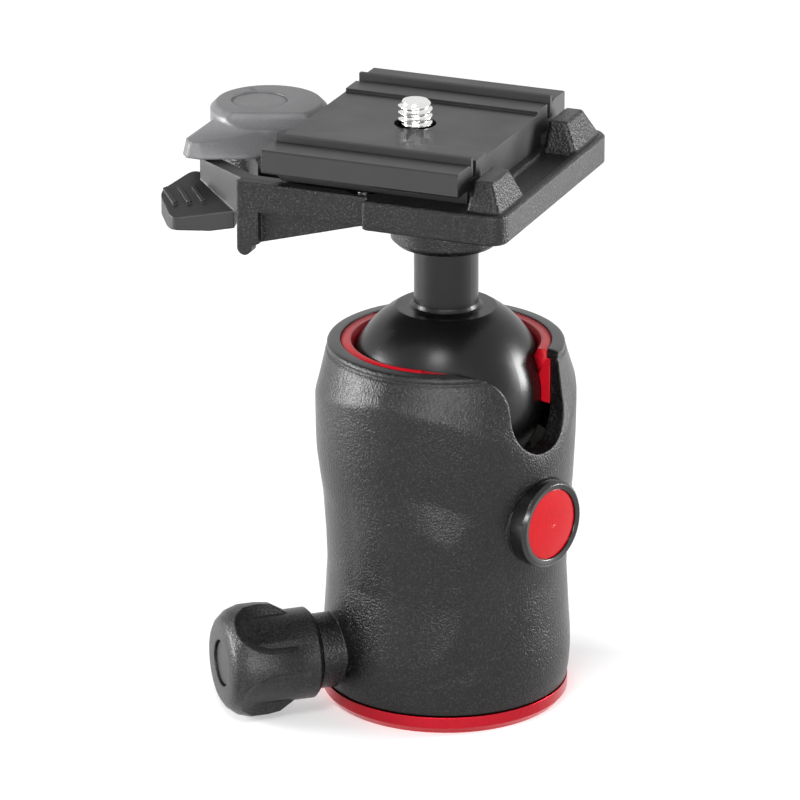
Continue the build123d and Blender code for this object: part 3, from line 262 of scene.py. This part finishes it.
RIDGE = [(0, 50.0), (11.4, 52.7), (32.6, 59.2), (50, 62.3), (79, 64.3), (121.6, 61.0), (139, 59.8),
         (180, 59.0)]
PROFILE = [(WALL_FOOT, 22.95), (6.0, 23.35), (9.5, 23.6), (13.5, 23.5), (17.7, 23.2), (25.8, 22.75),
           (31.5, 22.95), (37.9, 23.4), (43.9, 23.85), (51.9, 24.3), (57.9, 24.5), (RIM_TOP, 24.5)]
print("grip outline:", len(GRIP_OUTER), "points, ridge:", len(RIDGE))


# %% Distance to an outline on the unrolled skin
def rolled_out(azimuth, z):
    """Degrees of azimuth and mm of height to mm on the skin unrolled at its mean radius."""
    return np.column_stack((np.radians(azimuth) * MEAN_R, z))


def signed_distance(points, outline):
    """Distance of each point from a closed outline, positive inside it."""
    best = np.full(len(points), np.inf)
    inside = np.zeros(len(points), bool)
    for start, end in zip(outline, np.roll(outline, -1, axis=0)):
        run = end - start
        along = np.clip(((points - start) @ run) / (run @ run), 0, 1)
        best = np.minimum(best, np.linalg.norm(points - start - along[:, None] * run, axis=1))
        spans = (start[1] > points[:, 1]) != (end[1] > points[:, 1])
        crossing = start[0] + run[0] * (points[:, 1] - start[1]) / (run[1] if run[1] else 1e-9)
        inside ^= spans & (points[:, 0] < crossing)
    return np.where(inside, best, -best)


def grip_depth(azimuth, z):
    """How far the grip moves the skin out, in mm, ramping up over its sloping band."""
    points = rolled_out(azimuth, z)
    outer, inner = (signed_distance(points, rolled_out(*np.array(outline).T))
                    for outline in (GRIP_OUTER, GRIP_INNER))
    ramp = np.where(inner > 0, 1.0, np.clip(outer / np.maximum(outer - inner, 1e-6), 0, 1))
    return ramp * np.interp(azimuth, *np.array(GRIP_RELIEF).T)


print("depth inside the grip, back and front:",
      [round(float(grip_depth(np.array([a]), np.array([28.0]))[0]), 2) for a in (-110.0, -45.0)])


# %% Radius of the skin
SHOULDER_R, LEAN_IN, LEAN_TOP, RIDGE_BLEND = 24.45, 2.35, 69.8, 0.25
GROOVE_Z, GROOVE_SIZE = 68.9, 0.28
RIM_CORNER = 0.5
FOLD = 8.0


def skin_radius(azimuth, z):
    """Radius in mm for arrays of azimuth in degrees, within -180..180, and height."""
    # under the ridge the profile holds, above it the shoulder, and the ridge itself is soft
    low = np.interp(z, *np.array(PROFILE).T)
    ridge_z = np.interp(np.abs(azimuth), *np.array(RIDGE).T)
    lean = np.clip((z - ridge_z) / (LEAN_TOP - ridge_z), 0, 1.1)
    top = SHOULDER_R - LEAN_IN * (1.2 * lean - 0.2 * lean ** 2)
    radius = 0.5 * (low + top - np.sqrt((low - top) ** 2 + RIDGE_BLEND ** 2))
    # the flank behind the knob mirrors the one in front, with a soft turn at the knob
    unrolled = np.where(azimuth > KNOB_AZIMUTH + 180, azimuth - 360, azimuth)
    folded = KNOB_AZIMUTH + np.sqrt((unrolled - KNOB_AZIMUTH) ** 2 + FOLD ** 2)
    groove = np.exp(-((z - GROOVE_Z) / GROOVE_SIZE) ** 2) * GROOVE_SIZE
    corner = np.clip(z - (RIM_TOP - RIM_CORNER), 0, RIM_CORNER)
    rounding = RIM_CORNER - np.sqrt(RIM_CORNER ** 2 - corner ** 2)
    return radius + grip_depth(folded, z) - groove - rounding


print("radius at the front ridge:",
      [round(float(v), 2) for v in skin_radius(np.array([-49.0] * 3), np.array([58.0, 62.3, 68.0]))])


# %% Helpers for shapes
def spun(profile, steps, closed=False):
    """A bmesh spun about Z from (radius, height) points in mm."""
    shape = bmesh.new()
    chain = [shape.verts.new((r * MM, 0, z * MM)) for r, z in profile]
    ends = chain[1:] + chain[:1] if closed else chain[1:]
    loop = [shape.edges.new(pair) for pair in zip(chain, ends)]
    bmesh.ops.spin(shape, geom=chain + loop, cent=(0, 0, 0), axis=(0, 0, 1), angle=math.tau,
                   steps=steps, use_merge=True)
    return shape


def as_object(shape, name):
    """Object from a bmesh, which is freed."""
    mesh = bpy.data.meshes.new(name)
    shape.to_mesh(mesh)
    shape.free()
    thing = bpy.data.objects.new(name, mesh)
    bpy.context.scene.collection.objects.link(thing)
    return thing


def finished(shape, name):
    """Object from a bmesh whose faces are turned outwards first."""
    bmesh.ops.recalc_face_normals(shape, faces=shape.faces)
    return as_object(shape, name)


print("a disc spun in 12 steps:", len(spun([(0, 0), (10, 0)], 12).faces), "faces")

# %% The wall as a plain turned ring
BLANK_R, MOUTH_R, MOUTH_Z = 24.0, 19.7, 68.6
BORE_R, FOOT_BORE_R, FOOT_BORE_Z = 20.5, 20.95, 16.0
heights = np.concatenate((np.arange(WALL_FOOT, 66.0, 0.55), np.arange(66.0, 69.3, 0.16),
                          [69.3, 69.7, 69.95, 70.1, RIM_TOP]))
profile = [(BLANK_R, z) for z in heights]
profile += [(MOUTH_R, RIM_TOP), (MOUTH_R, MOUTH_Z), (BORE_R, MOUTH_Z), (BORE_R, FOOT_BORE_Z),
            (FOOT_BORE_R, FOOT_BORE_Z), (FOOT_BORE_R, WALL_FOOT)]
shape = spun(profile, 360, closed=True)
print("turned ring:", len(shape.verts), "points")

# %% Its outer skin moved to the sculpted radius
BETWEEN_BORE_AND_SKIN = 22.0
outer = [vert for vert in shape.verts if vert.co.xy.length > BETWEEN_BORE_AND_SKIN * MM]
around = np.degrees([math.atan2(vert.co.y, vert.co.x) for vert in outer])
radii = skin_radius(around, np.array([vert.co.z for vert in outer]) / MM)
for vert, radius in zip(outer, radii):
    vert.co.xy = vert.co.xy.normalized() * radius * MM
# smoothed a little, but for the foot's edge and the rim
between = [vert for vert in outer if 3.8 * MM < vert.co.z < 69.2 * MM]
for _ in range(2):
    bmesh.ops.smooth_vert(shape, verts=between, factor=0.5, use_axis_x=True, use_axis_y=True)
housing = finished(shape, "sculpted_housing")
print("skin from", round(float(radii.min()), 2), "to", round(float(radii.max()), 2), "mm in radius")

# %% [markdown]
# ## Collars, bores and the notch
# The knobs' collars and the badge's seat are added to the skin, then the bores and the drop notch
# are cut. One mesh holds all that is added and another all that is cut, so two booleans do it. The
# notch is an outline pushed through the wall: a round foot that takes the stem, a rounded lead at
# one side of its mouth and a long sweep at the other.


# %% Helpers for collars and cutters
def spoke(shape, azimuth, height, radius, start, end, segments=96):
    """Level cylinder in a bmesh, pointing away from the head's axis."""
    turn = Matrix.Rotation(math.radians(azimuth), 4, "Z") @ Matrix.Rotation(math.radians(90), 4, "Y")
    lift = Matrix.Translation((0, 0, height * MM))
    place = lift @ turn @ Matrix.Translation((0, 0, (start + end) / 2 * MM))
    bmesh.ops.create_cone(shape, cap_ends=True, segments=segments, radius1=radius * MM,
                          radius2=radius * MM, depth=(end - start) * MM, matrix=place)


def arc(y, z, radius, degrees):
    """Points on a circle, as (y, z) in mm."""
    return [(y + radius * math.cos(t), z + radius * math.sin(t)) for t in map(math.radians, degrees)]


def pushed(shape, outline, x, depth):
    """Block in a bmesh from (y, z) points at one x, pushed along X; gives its far points."""
    wall = shape.faces.new([shape.verts.new((x * MM, y * MM, z * MM)) for y, z in outline])
    block = bmesh.ops.extrude_face_region(shape, geom=[wall])["geom"]
    far = [part for part in block if isinstance(part, bmesh.types.BMVert)]
    bmesh.ops.translate(shape, verts=far, vec=(depth * MM, 0, 0))
    return far


print("a quarter of a circle:", [(round(y, 1), round(z, 1)) for y, z in arc(0, 0, 1, (0, 45, 90))])

# %% Shapes to add and to cut
PAN_Z, LOCK_Z, BADGE_Z = 10.8, 31.55, 39.7
PAN_BORE_R = 3.05
IN_WALL, BADGE_FLOOR = 20.7, 22.7
# each spoke's azimuth, height and radius, and where it starts and ends
added = bmesh.new()
spoke(added, KNOB_AZIMUTH, PAN_Z, 7.1, IN_WALL, 26.3)
spoke(added, -KNOB_AZIMUTH, LOCK_Z, 10.5, IN_WALL, 26.4)
spoke(added, 0, BADGE_Z, 8.3, IN_WALL, BADGE_FLOOR)
added = finished(added, "housing_collars")

NOTCH_HALF, NOTCH_Z, LEAD_R, LEAD_Z = 7.4, 60.7, 1.0, 69.2
SWEEP_Y, SWEEP_Z, SWEEP_R, ABOVE = -14.9, 62.7, 7.5, 75.0
notch = arc(0, NOTCH_Z, NOTCH_HALF, range(-180, 1, 5)) + [(NOTCH_HALF, LEAD_Z)]
notch += arc(NOTCH_HALF + LEAD_R, LEAD_Z, LEAD_R, range(165, 89, -15))
notch += [(NOTCH_HALF + LEAD_R, ABOVE), (SWEEP_Y, ABOVE)]
notch += arc(SWEEP_Y, SWEEP_Z, SWEEP_R, range(90, -1, -6))
cut = bmesh.new()
spoke(cut, KNOB_AZIMUTH, PAN_Z, PAN_BORE_R, 10.0, 30.0, 48)
spoke(cut, -KNOB_AZIMUTH, LOCK_Z, 6.15, 10.0, 30.0, 64)
spoke(cut, 0, BADGE_Z, 8.35, BADGE_FLOOR, 34.0)
pushed(cut, notch, 10.0, 30.0)
cut = finished(cut, "housing_cuts")
print("added and cut shapes:", len(added.data.polygons), len(cut.data.polygons))


# %% Two booleans
def combined(thing, *steps):
    """Applies each (operation, tool) to an object, removes the tools and gives the new mesh."""
    for operation, tool in steps:
        step = thing.modifiers.new(operation.lower(), "BOOLEAN")
        step.operation, step.solver, step.object = operation, "EXACT", tool
    depsgraph = bpy.context.evaluated_depsgraph_get()
    mesh = bpy.data.meshes.new_from_object(thing.evaluated_get(depsgraph))
    thing.modifiers.clear()
    thing.data = mesh
    for _, tool in steps:
        bpy.data.objects.remove(tool)
    return mesh


def coated(mesh, sharp_from, *finishes):
    """Gives a mesh its finishes and shades it smooth, but for edges of so many degrees or more."""
    mesh.materials.clear()
    for finish in finishes:
        mesh.materials.append(finish)
    mesh.shade_smooth()
    mesh.set_sharp_from_angle(angle=math.radians(sharp_from))


whole = combined(housing, ("UNION", added), ("DIFFERENCE", cut))
coated(whole, 35, casting_coat, smooth_rim_painted_light)
# the rim's up-facing flat top gets the smooth coating, painted a lighter grey as light from above
for face in whole.polygons:
    face.material_index = int(face.normal.z > 0.95 and face.center.z > (RIM_TOP - 0.1) * MM)
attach(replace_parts(housing, "housing"), "housing")
print("housing:", len(whole.polygons), "faces")

# %% [markdown]
# ## The red liner's mouth
# The liner is a soft red ring between the ball and the wall. At the notch it is trimmed a little
# further back than the wall, along the same curve, so a stem that drops in never rubs on it. A
# copy of its solid is trimmed with the same kind of cutter. The solids' meshes are loose triangles,
# so a copy is merged before anything is done to it.


# %% Trim the liner
def merged_copy(name):
    """A bmesh of one of the frame's solids, its loose triangles joined into one skin."""
    shape = bmesh.new()
    shape.from_mesh(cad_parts[name].data)
    bmesh.ops.remove_doubles(shape, verts=shape.verts, dist=0.001 * MM)
    return shape


TRIM_Y, TRIM_Z, TRIM_R = -15.6, 61.6, 8.2
TRIM_FOOT, TRIM_INSIDE = 61.0, -6.0
trim = [(-NOTCH_HALF, TRIM_FOOT), (-NOTCH_HALF, TRIM_Z)] + arc(TRIM_Y, TRIM_Z, TRIM_R, range(6, 91, 6))
trim += [(TRIM_Y, ABOVE), (TRIM_INSIDE, ABOVE), (TRIM_INSIDE, TRIM_FOOT)]
trimmer = bmesh.new()
pushed(trimmer, trim, 8.0, 30.0)
liner = finished(merged_copy("upper_liner"), "trimmed_liner")
trimmed = combined(liner, ("DIFFERENCE", finished(trimmer, "liner_trim")))
coated(trimmed, 30, liner_acetal)
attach(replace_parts(liner, "upper_liner"), "housing")
print("liner:", len(trimmed.polygons), "faces")

# %% [markdown]
# ## The pan lock's knob
# The knob is moulded for the fingers: four ribs rise from a round core to a thick domed end, and
# between them lie scoops down to the core, open at the neck and round at their far end. The core
# and the domed end are spun. A scoop's cutter is an outline with a round end, pushed outwards while
# it widens, so its walls slope. All of it is drawn along +Z and then laid along the lock's screw.

# %% The cutter for one scoop
SCOOP_FLOOR, SCOOP_HALF, SCOOP_END, SCOOP_DEPTH, SCOOP_FLARE = 7.4, 3.6, 8.7, 3.5, 1.9
NECK_END = -2.0
shape = bmesh.new()
plan = [(-SCOOP_HALF, NECK_END)] + arc(0, SCOOP_END, SCOOP_HALF, range(180, -1, -10))
plan += [(SCOOP_HALF, NECK_END)]
far = pushed(shape, plan, SCOOP_FLOOR, SCOOP_DEPTH)
wider = 1 + SCOOP_FLARE * SCOOP_DEPTH / SCOOP_HALF
bmesh.ops.scale(shape, verts=far, vec=(1, wider, wider),
                space=Matrix.Translation((0, 0, -SCOOP_END * MM)))
scoop = bpy.data.meshes.new("scoop")
shape.to_mesh(scoop)
shape.free()
print("scoop:", len(scoop.polygons), "faces, outer face", round(wider, 2), "times as wide")

# %% All scoops, a rib between each two
RIBS, FIRST_RIB = 4, 15.0
cutters = bmesh.new()
for rib in range(RIBS):
    before = len(cutters.verts)
    cutters.from_mesh(scoop)
    cutters.verts.ensure_lookup_table()
    turn = Matrix.Rotation(math.radians(FIRST_RIB + (rib + 0.5) * 360 / RIBS), 3, "Z")
    bmesh.ops.rotate(cutters, verts=cutters.verts[before:], cent=(0, 0, 0), matrix=turn)
cutters = finished(cutters, "knob_scoops")
print("scoops:", RIBS, "with", len(cutters.data.polygons), "faces")


# %% The knob from its turned shapes
def turned(name, profile, steps=120):
    """Object spun about Z, its poles merged."""
    shape = spun(profile, steps)
    bmesh.ops.remove_doubles(shape, verts=shape.verts, dist=0.001 * MM)
    return finished(shape, name)


KNOB_START, KNOB_LENGTH, CORE_R, CORE_LENGTH, CORE_EDGE = 26.7, 17.6, 8.6, 16.0, 0.7
knob = turned("pan_knob_grip", [(0, 4.0), (8.2, 4.0), (10.3, 7.6), (10.6, 10.0), (10.6, 13.2),
                                (9.9, 15.4), (8.6, 17.0), (7.6, KNOB_LENGTH), (0, KNOB_LENGTH)])
core = turned("knob_core", [(0, 0), (CORE_R - CORE_EDGE, 0), (CORE_R, CORE_EDGE),
                            (CORE_R, CORE_LENGTH), (0, CORE_LENGTH)])
hole = turned("screw_hole", [(0, -1.0), (PAN_BORE_R, -1.0), (PAN_BORE_R, 15.45), (0, 15.45)], 48)
seat = turned("cap_seat", [(0, 16.4), (4.45, 16.4), (4.45, 18.6), (0, 18.6)], 96)
whole = combined(knob, ("DIFFERENCE", cutters), ("UNION", core), ("DIFFERENCE", hole),
                 ("DIFFERENCE", seat))
quarter = math.radians(90)
whole.transform(Matrix.Rotation(math.radians(KNOB_AZIMUTH), 4, "Z")
                @ Matrix.Translation((KNOB_START * MM, 0, PAN_Z * MM))
                @ Matrix.Rotation(quarter, 4, "Z") @ Matrix.Rotation(quarter, 4, "X"))
coated(whole, 40, knob_skin)
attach(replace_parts(knob, "pan_lock_knob"), "pan_knob")
print("pan knob:", len(whole.polygons), "faces")

# %% [markdown]
# ## The lever's moulded edges
# A moulded lever has no sharp edge that a thumb could feel. A copy of its solid is merged, its flat
# faces are made whole again, and then every outer edge is bevelled round. The edges at the cap's
# seat stay as they are, so the cap still fits.

# %% Round the lever
EDGE_R, EDGE_DEGREES, SEAT_MARGIN = 0.7, 28, 0.6
low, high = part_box("lever_cap")
seat_at = (Vector(low) + Vector(high)).xy / 2
seat_r = (high[0] - low[0]) / 2 + SEAT_MARGIN * MM
shape = merged_copy("cam_lever")
bmesh.ops.dissolve_limit(shape, angle_limit=math.radians(1), verts=shape.verts, edges=shape.edges)
outer_edges = [edge for edge in shape.edges
               if edge.is_manifold and edge.calc_face_angle() > math.radians(EDGE_DEGREES)
               and edge.is_convex and all((v.co.xy - seat_at).length > seat_r for v in edge.verts)]
bmesh.ops.bevel(shape, geom=outer_edges, affect="EDGES", offset=EDGE_R * MM, segments=4, profile=0.5,
                material=-1, clamp_overlap=True)
lever = finished(shape, "rounded_lever")
coated(lever.data, 30, lever_nylon)
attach(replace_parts(lever, "cam_lever"), "cam_lever")
print("lever:", len(outer_edges), "edges rounded,", len(lever.data.polygons), "faces")

# %% [markdown]
# ## The camera screw's thread
# The solid ends in a plain shank, so a real 1/4 inch thread takes its place: one turn of its
# outline is spun about the axis while it climbs by the pitch, which leaves a helix. It starts below
# the place where it is cut, so both ends come out level. The head and neck are kept from the solid,
# whose faces already point outwards, so only the thread's are turned.

# %% Spin the thread
PITCH, CREST_R, ROOT_R = 1.27, 3.175, 2.5
THREAD_FOOT, THREAD_TOP = 111.4, 115.7
TURNS, STEPS = 7, 48
TIP_R, TIP_DEPTH, TIP_SLOPE = 1.5, 0.8, 0.9
thread = bmesh.new()
rise = [(ROOT_R, 0), (ROOT_R, 0.12), (CREST_R, 0.52), (CREST_R, 0.7), (ROOT_R, 1.1), (ROOT_R, PITCH)]
chain = [thread.verts.new((r * MM, 0, (THREAD_FOOT - 1.5 * PITCH + z) * MM)) for r, z in rise]
ridge = [thread.edges.new(pair) for pair in zip(chain, chain[1:])]
bmesh.ops.spin(thread, geom=chain + ridge, cent=(0, 0, 0), axis=(0, 0, 1), angle=TURNS * math.tau,
               steps=TURNS * STEPS, dvec=(0, 0, PITCH / STEPS * MM))
bmesh.ops.remove_doubles(thread, verts=thread.verts, dist=0.002 * MM)
# the tip is chamfered, so the crests shrink towards it
for vert in thread.verts:
    limit = CREST_R * MM - max(0.0, vert.co.z - (THREAD_TOP - TIP_DEPTH) * MM) * TIP_SLOPE
    if vert.co.xy.length > limit:
        vert.co.xy = vert.co.xy.normalized() * max(limit, TIP_R * MM)
print("thread:", len(thread.faces), "faces")


# %% Cut it level and join it to the head
def cut_level(shape, level, keep_above=False):
    """Cuts a bmesh at a height in mm and drops what is above, or below with keep_above."""
    bmesh.ops.bisect_plane(shape, geom=shape.verts[:] + shape.edges[:] + shape.faces[:],
                           plane_co=(0, 0, level * MM), plane_no=(0, 0, 1),
                           clear_inner=keep_above, clear_outer=not keep_above)


def close_ends(shape):
    """Fills the open ends of a bmesh."""
    bmesh.ops.holes_fill(shape, edges=[edge for edge in shape.edges if edge.is_boundary])


cut_level(thread, THREAD_FOOT, keep_above=True)
cut_level(thread, THREAD_TOP)
close_ends(thread)
bmesh.ops.recalc_face_normals(thread, faces=thread.faces)
low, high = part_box("camera_screw")
bmesh.ops.translate(thread, verts=thread.verts,
                    vec=((low[0] + high[0]) / 2, (low[1] + high[1]) / 2, 0))
thread_mesh = bpy.data.meshes.new("camera_thread")
thread.to_mesh(thread_mesh)
thread.free()
screw = merged_copy("camera_screw")
cut_level(screw, THREAD_FOOT)
close_ends(screw)
screw.from_mesh(thread_mesh)
screw = as_object(screw, "camera_screw_threaded")
coated(screw.data, 28, thread_steel)
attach(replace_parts(screw, "camera_screw"), "camera_screw")
print("camera screw:", len(screw.data.polygons), "faces")

# %% [markdown]
# ## The spring under the plunger
# The plate presses a small plunger down as it drops in, and the spring under the plunger shortens.
# A rigid solid can't do that, and here a merged copy stands in for it, with a mesh of its own,
# riding on the platform at its full length.

# %% A copy of the spring
low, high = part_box("plunger_spring")
spring = finished(merged_copy("plunger_spring"), "shortening_spring")
spring.data.materials.append(steel_finish)
spring.data.shade_smooth()
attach(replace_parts(spring, "plunger_spring"), "platform")
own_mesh(spring)

# %% [markdown]
# ## Floor, light and camera
# The head stands on a pale sweep. A black, half-glossy thing is drawn by what it mirrors, so the
# lamps are few and low: a small softbox at each side, a little behind the head, rakes the grain of
# the flanks, a wide low strip in front draws the bands that lean back, and a small lamp higher up
# in front lights the tops. The sweep and the room fill what the lamps leave: both look white to the
# camera and in mirrors, but light the head only a little.


# %% The pale floor
def seen_or_mirrored(tree):
    """Socket that is 1 for rays from the camera and on from a mirror or glass, otherwise 0."""
    ray = add(tree, "ShaderNodeLightPath").outputs
    seen = add(tree, "ShaderNodeMath", {0: ray["Is Camera Ray"], 1: ray["Is Glossy Ray"]},
               operation="ADD").outputs["Value"]
    return add(tree, "ShaderNodeMath", {0: seen, 1: ray["Is Transmission Ray"]},
               operation="ADD", use_clamp=True).outputs["Value"]


HALF_SIZE, FIBRE_MM, TOOTH_MM = 6.0, 2.0, 0.02
NEAR, FAR, GLOW_NEAR, GLOW_FAR = 0.35, 1.0, 0.26, 0.75
shape = bmesh.new()
bmesh.ops.create_grid(shape, x_segments=1, y_segments=1, size=HALF_SIZE)
floor = as_object(shape, "floor")
paper = bpy.data.materials.new("matt_white_paper_sweep")
tree = empty_tree(paper)
place = add(tree, "ShaderNodeTexCoord").outputs["Object"]
fibre = add(tree, "ShaderNodeTexNoise", {"Vector": place, "Scale": 1 / (FIBRE_MM * MM), "Detail": 2.0})
tooth = add(tree, "ShaderNodeBump",
            {"Height": fibre.outputs["Fac"], "Distance": TOOTH_MM * MM, "Strength": 0.3})
matt = add(tree, "ShaderNodeBsdfDiffuse",
           {"Color": linear("#e4e4e4"), "Normal": tooth.outputs["Normal"]})
# the lamps reach the far paper less, so there it glows more
reach = add(tree, "ShaderNodeVectorMath", {0: place}, operation="LENGTH")
level = add(tree, "ShaderNodeMapRange",
            {"Value": reach.outputs["Value"], "From Min": NEAR, "From Max": FAR,
             "To Min": GLOW_NEAR, "To Max": GLOW_FAR})
glow = add(tree, "ShaderNodeEmission", {"Color": (1, 1, 1, 1), "Strength": level.outputs["Result"]})
lit = add(tree, "ShaderNodeAddShader", {0: matt.outputs["BSDF"], 1: glow.outputs["Emission"]})
mix = add(tree, "ShaderNodeMixShader",
          {0: seen_or_mirrored(tree), 1: matt.outputs["BSDF"], 2: lit.outputs["Shader"]})
add(tree, "ShaderNodeOutputMaterial", {"Surface": mix.outputs["Shader"]})
floor.data.materials.append(paper)
print("floor:", tuple(round(v, 1) for v in floor.dimensions))

# %% The room's light
world = bpy.data.worlds.new("studio")
bpy.context.scene.world = world
tree = empty_tree(world)
room, white = (add(tree, "ShaderNodeBackground", {"Color": (1, 1, 1, 1), "Strength": strength})
               for strength in (0.35, 1.0))
mix = add(tree, "ShaderNodeMixShader",
          {0: seen_or_mirrored(tree), 1: room.outputs["Background"], 2: white.outputs["Background"]})
add(tree, "ShaderNodeOutputWorld", {"Surface": mix.outputs["Shader"]})
print("room:", room.inputs["Strength"].default_value, "as a light, seen as white")


# %% The lamps
def direction(azimuth, elevation):
    """Unit vector away from the head; azimuth 0 is in front of it, at -Y, and 90 at +X."""
    a, e = math.radians(azimuth), math.radians(elevation)
    return Vector((math.sin(a) * math.cos(e), -math.cos(a) * math.cos(e), math.sin(e)))


def stood(data, aim, back, distance):
    """Object for a lamp or a camera, stood back from the point that it looks at."""
    thing = bpy.data.objects.new(data.name, data)
    thing.location = aim + back * distance
    thing.rotation_euler = (-back).to_track_quat("-Z", "Y").to_euler()
    bpy.context.scene.collection.objects.link(thing)
    return thing


FACING, LAMP_AIM = 41, Vector((0, 0, 0.06))
# name, degrees round from the viewer, elevation, distance, width, height and radiance
SOFTBOXES = [("left_softbox", -92, 8, 0.7, 0.28, 0.3, 30.0),
             ("right_softbox", 103, 8, 0.7, 0.2, 0.3, 36.0),
             ("front_softbox", 2, 13, 1.3, 1.3, 0.2, 20.0),
             ("high_front_softbox", -14, 50, 0.9, 0.25, 0.2, 16.0)]
for name, round_from, elevation, distance, width, height, radiance in SOFTBOXES:
    lamp = bpy.data.lights.new(name, "AREA")
    lamp.shape, lamp.size, lamp.size_y = "RECTANGLE", width, height
    lamp.energy = radiance * math.pi * width * height
    stood(lamp, LAMP_AIM, direction(FACING + round_from, elevation), distance)
    print("softbox:", name, "energy", round(lamp.energy, 1))

# %% The camera
AZIMUTH, ELEVATION, DISTANCE = 41.1, 20.38, 1.2
AIM_HEIGHT, AIM_LEFT = 57.89, 8.54
back = direction(AZIMUTH, ELEVATION)
aside = Vector((math.cos(math.radians(AZIMUTH)), math.sin(math.radians(AZIMUTH)), 0))
lens = bpy.data.cameras.new("camera")
lens.sensor_width, lens.lens = 36.0, 289.95
lens.clip_start, lens.clip_end = 0.05, 50
camera = stood(lens, Vector((0, 0, AIM_HEIGHT * MM)) - aside * AIM_LEFT * MM, back, DISTANCE)
bpy.context.scene.camera = camera
bpy.context.scene.view_settings.view_transform = "Standard"
print("camera at", tuple(round(v, 3) for v in camera.location))
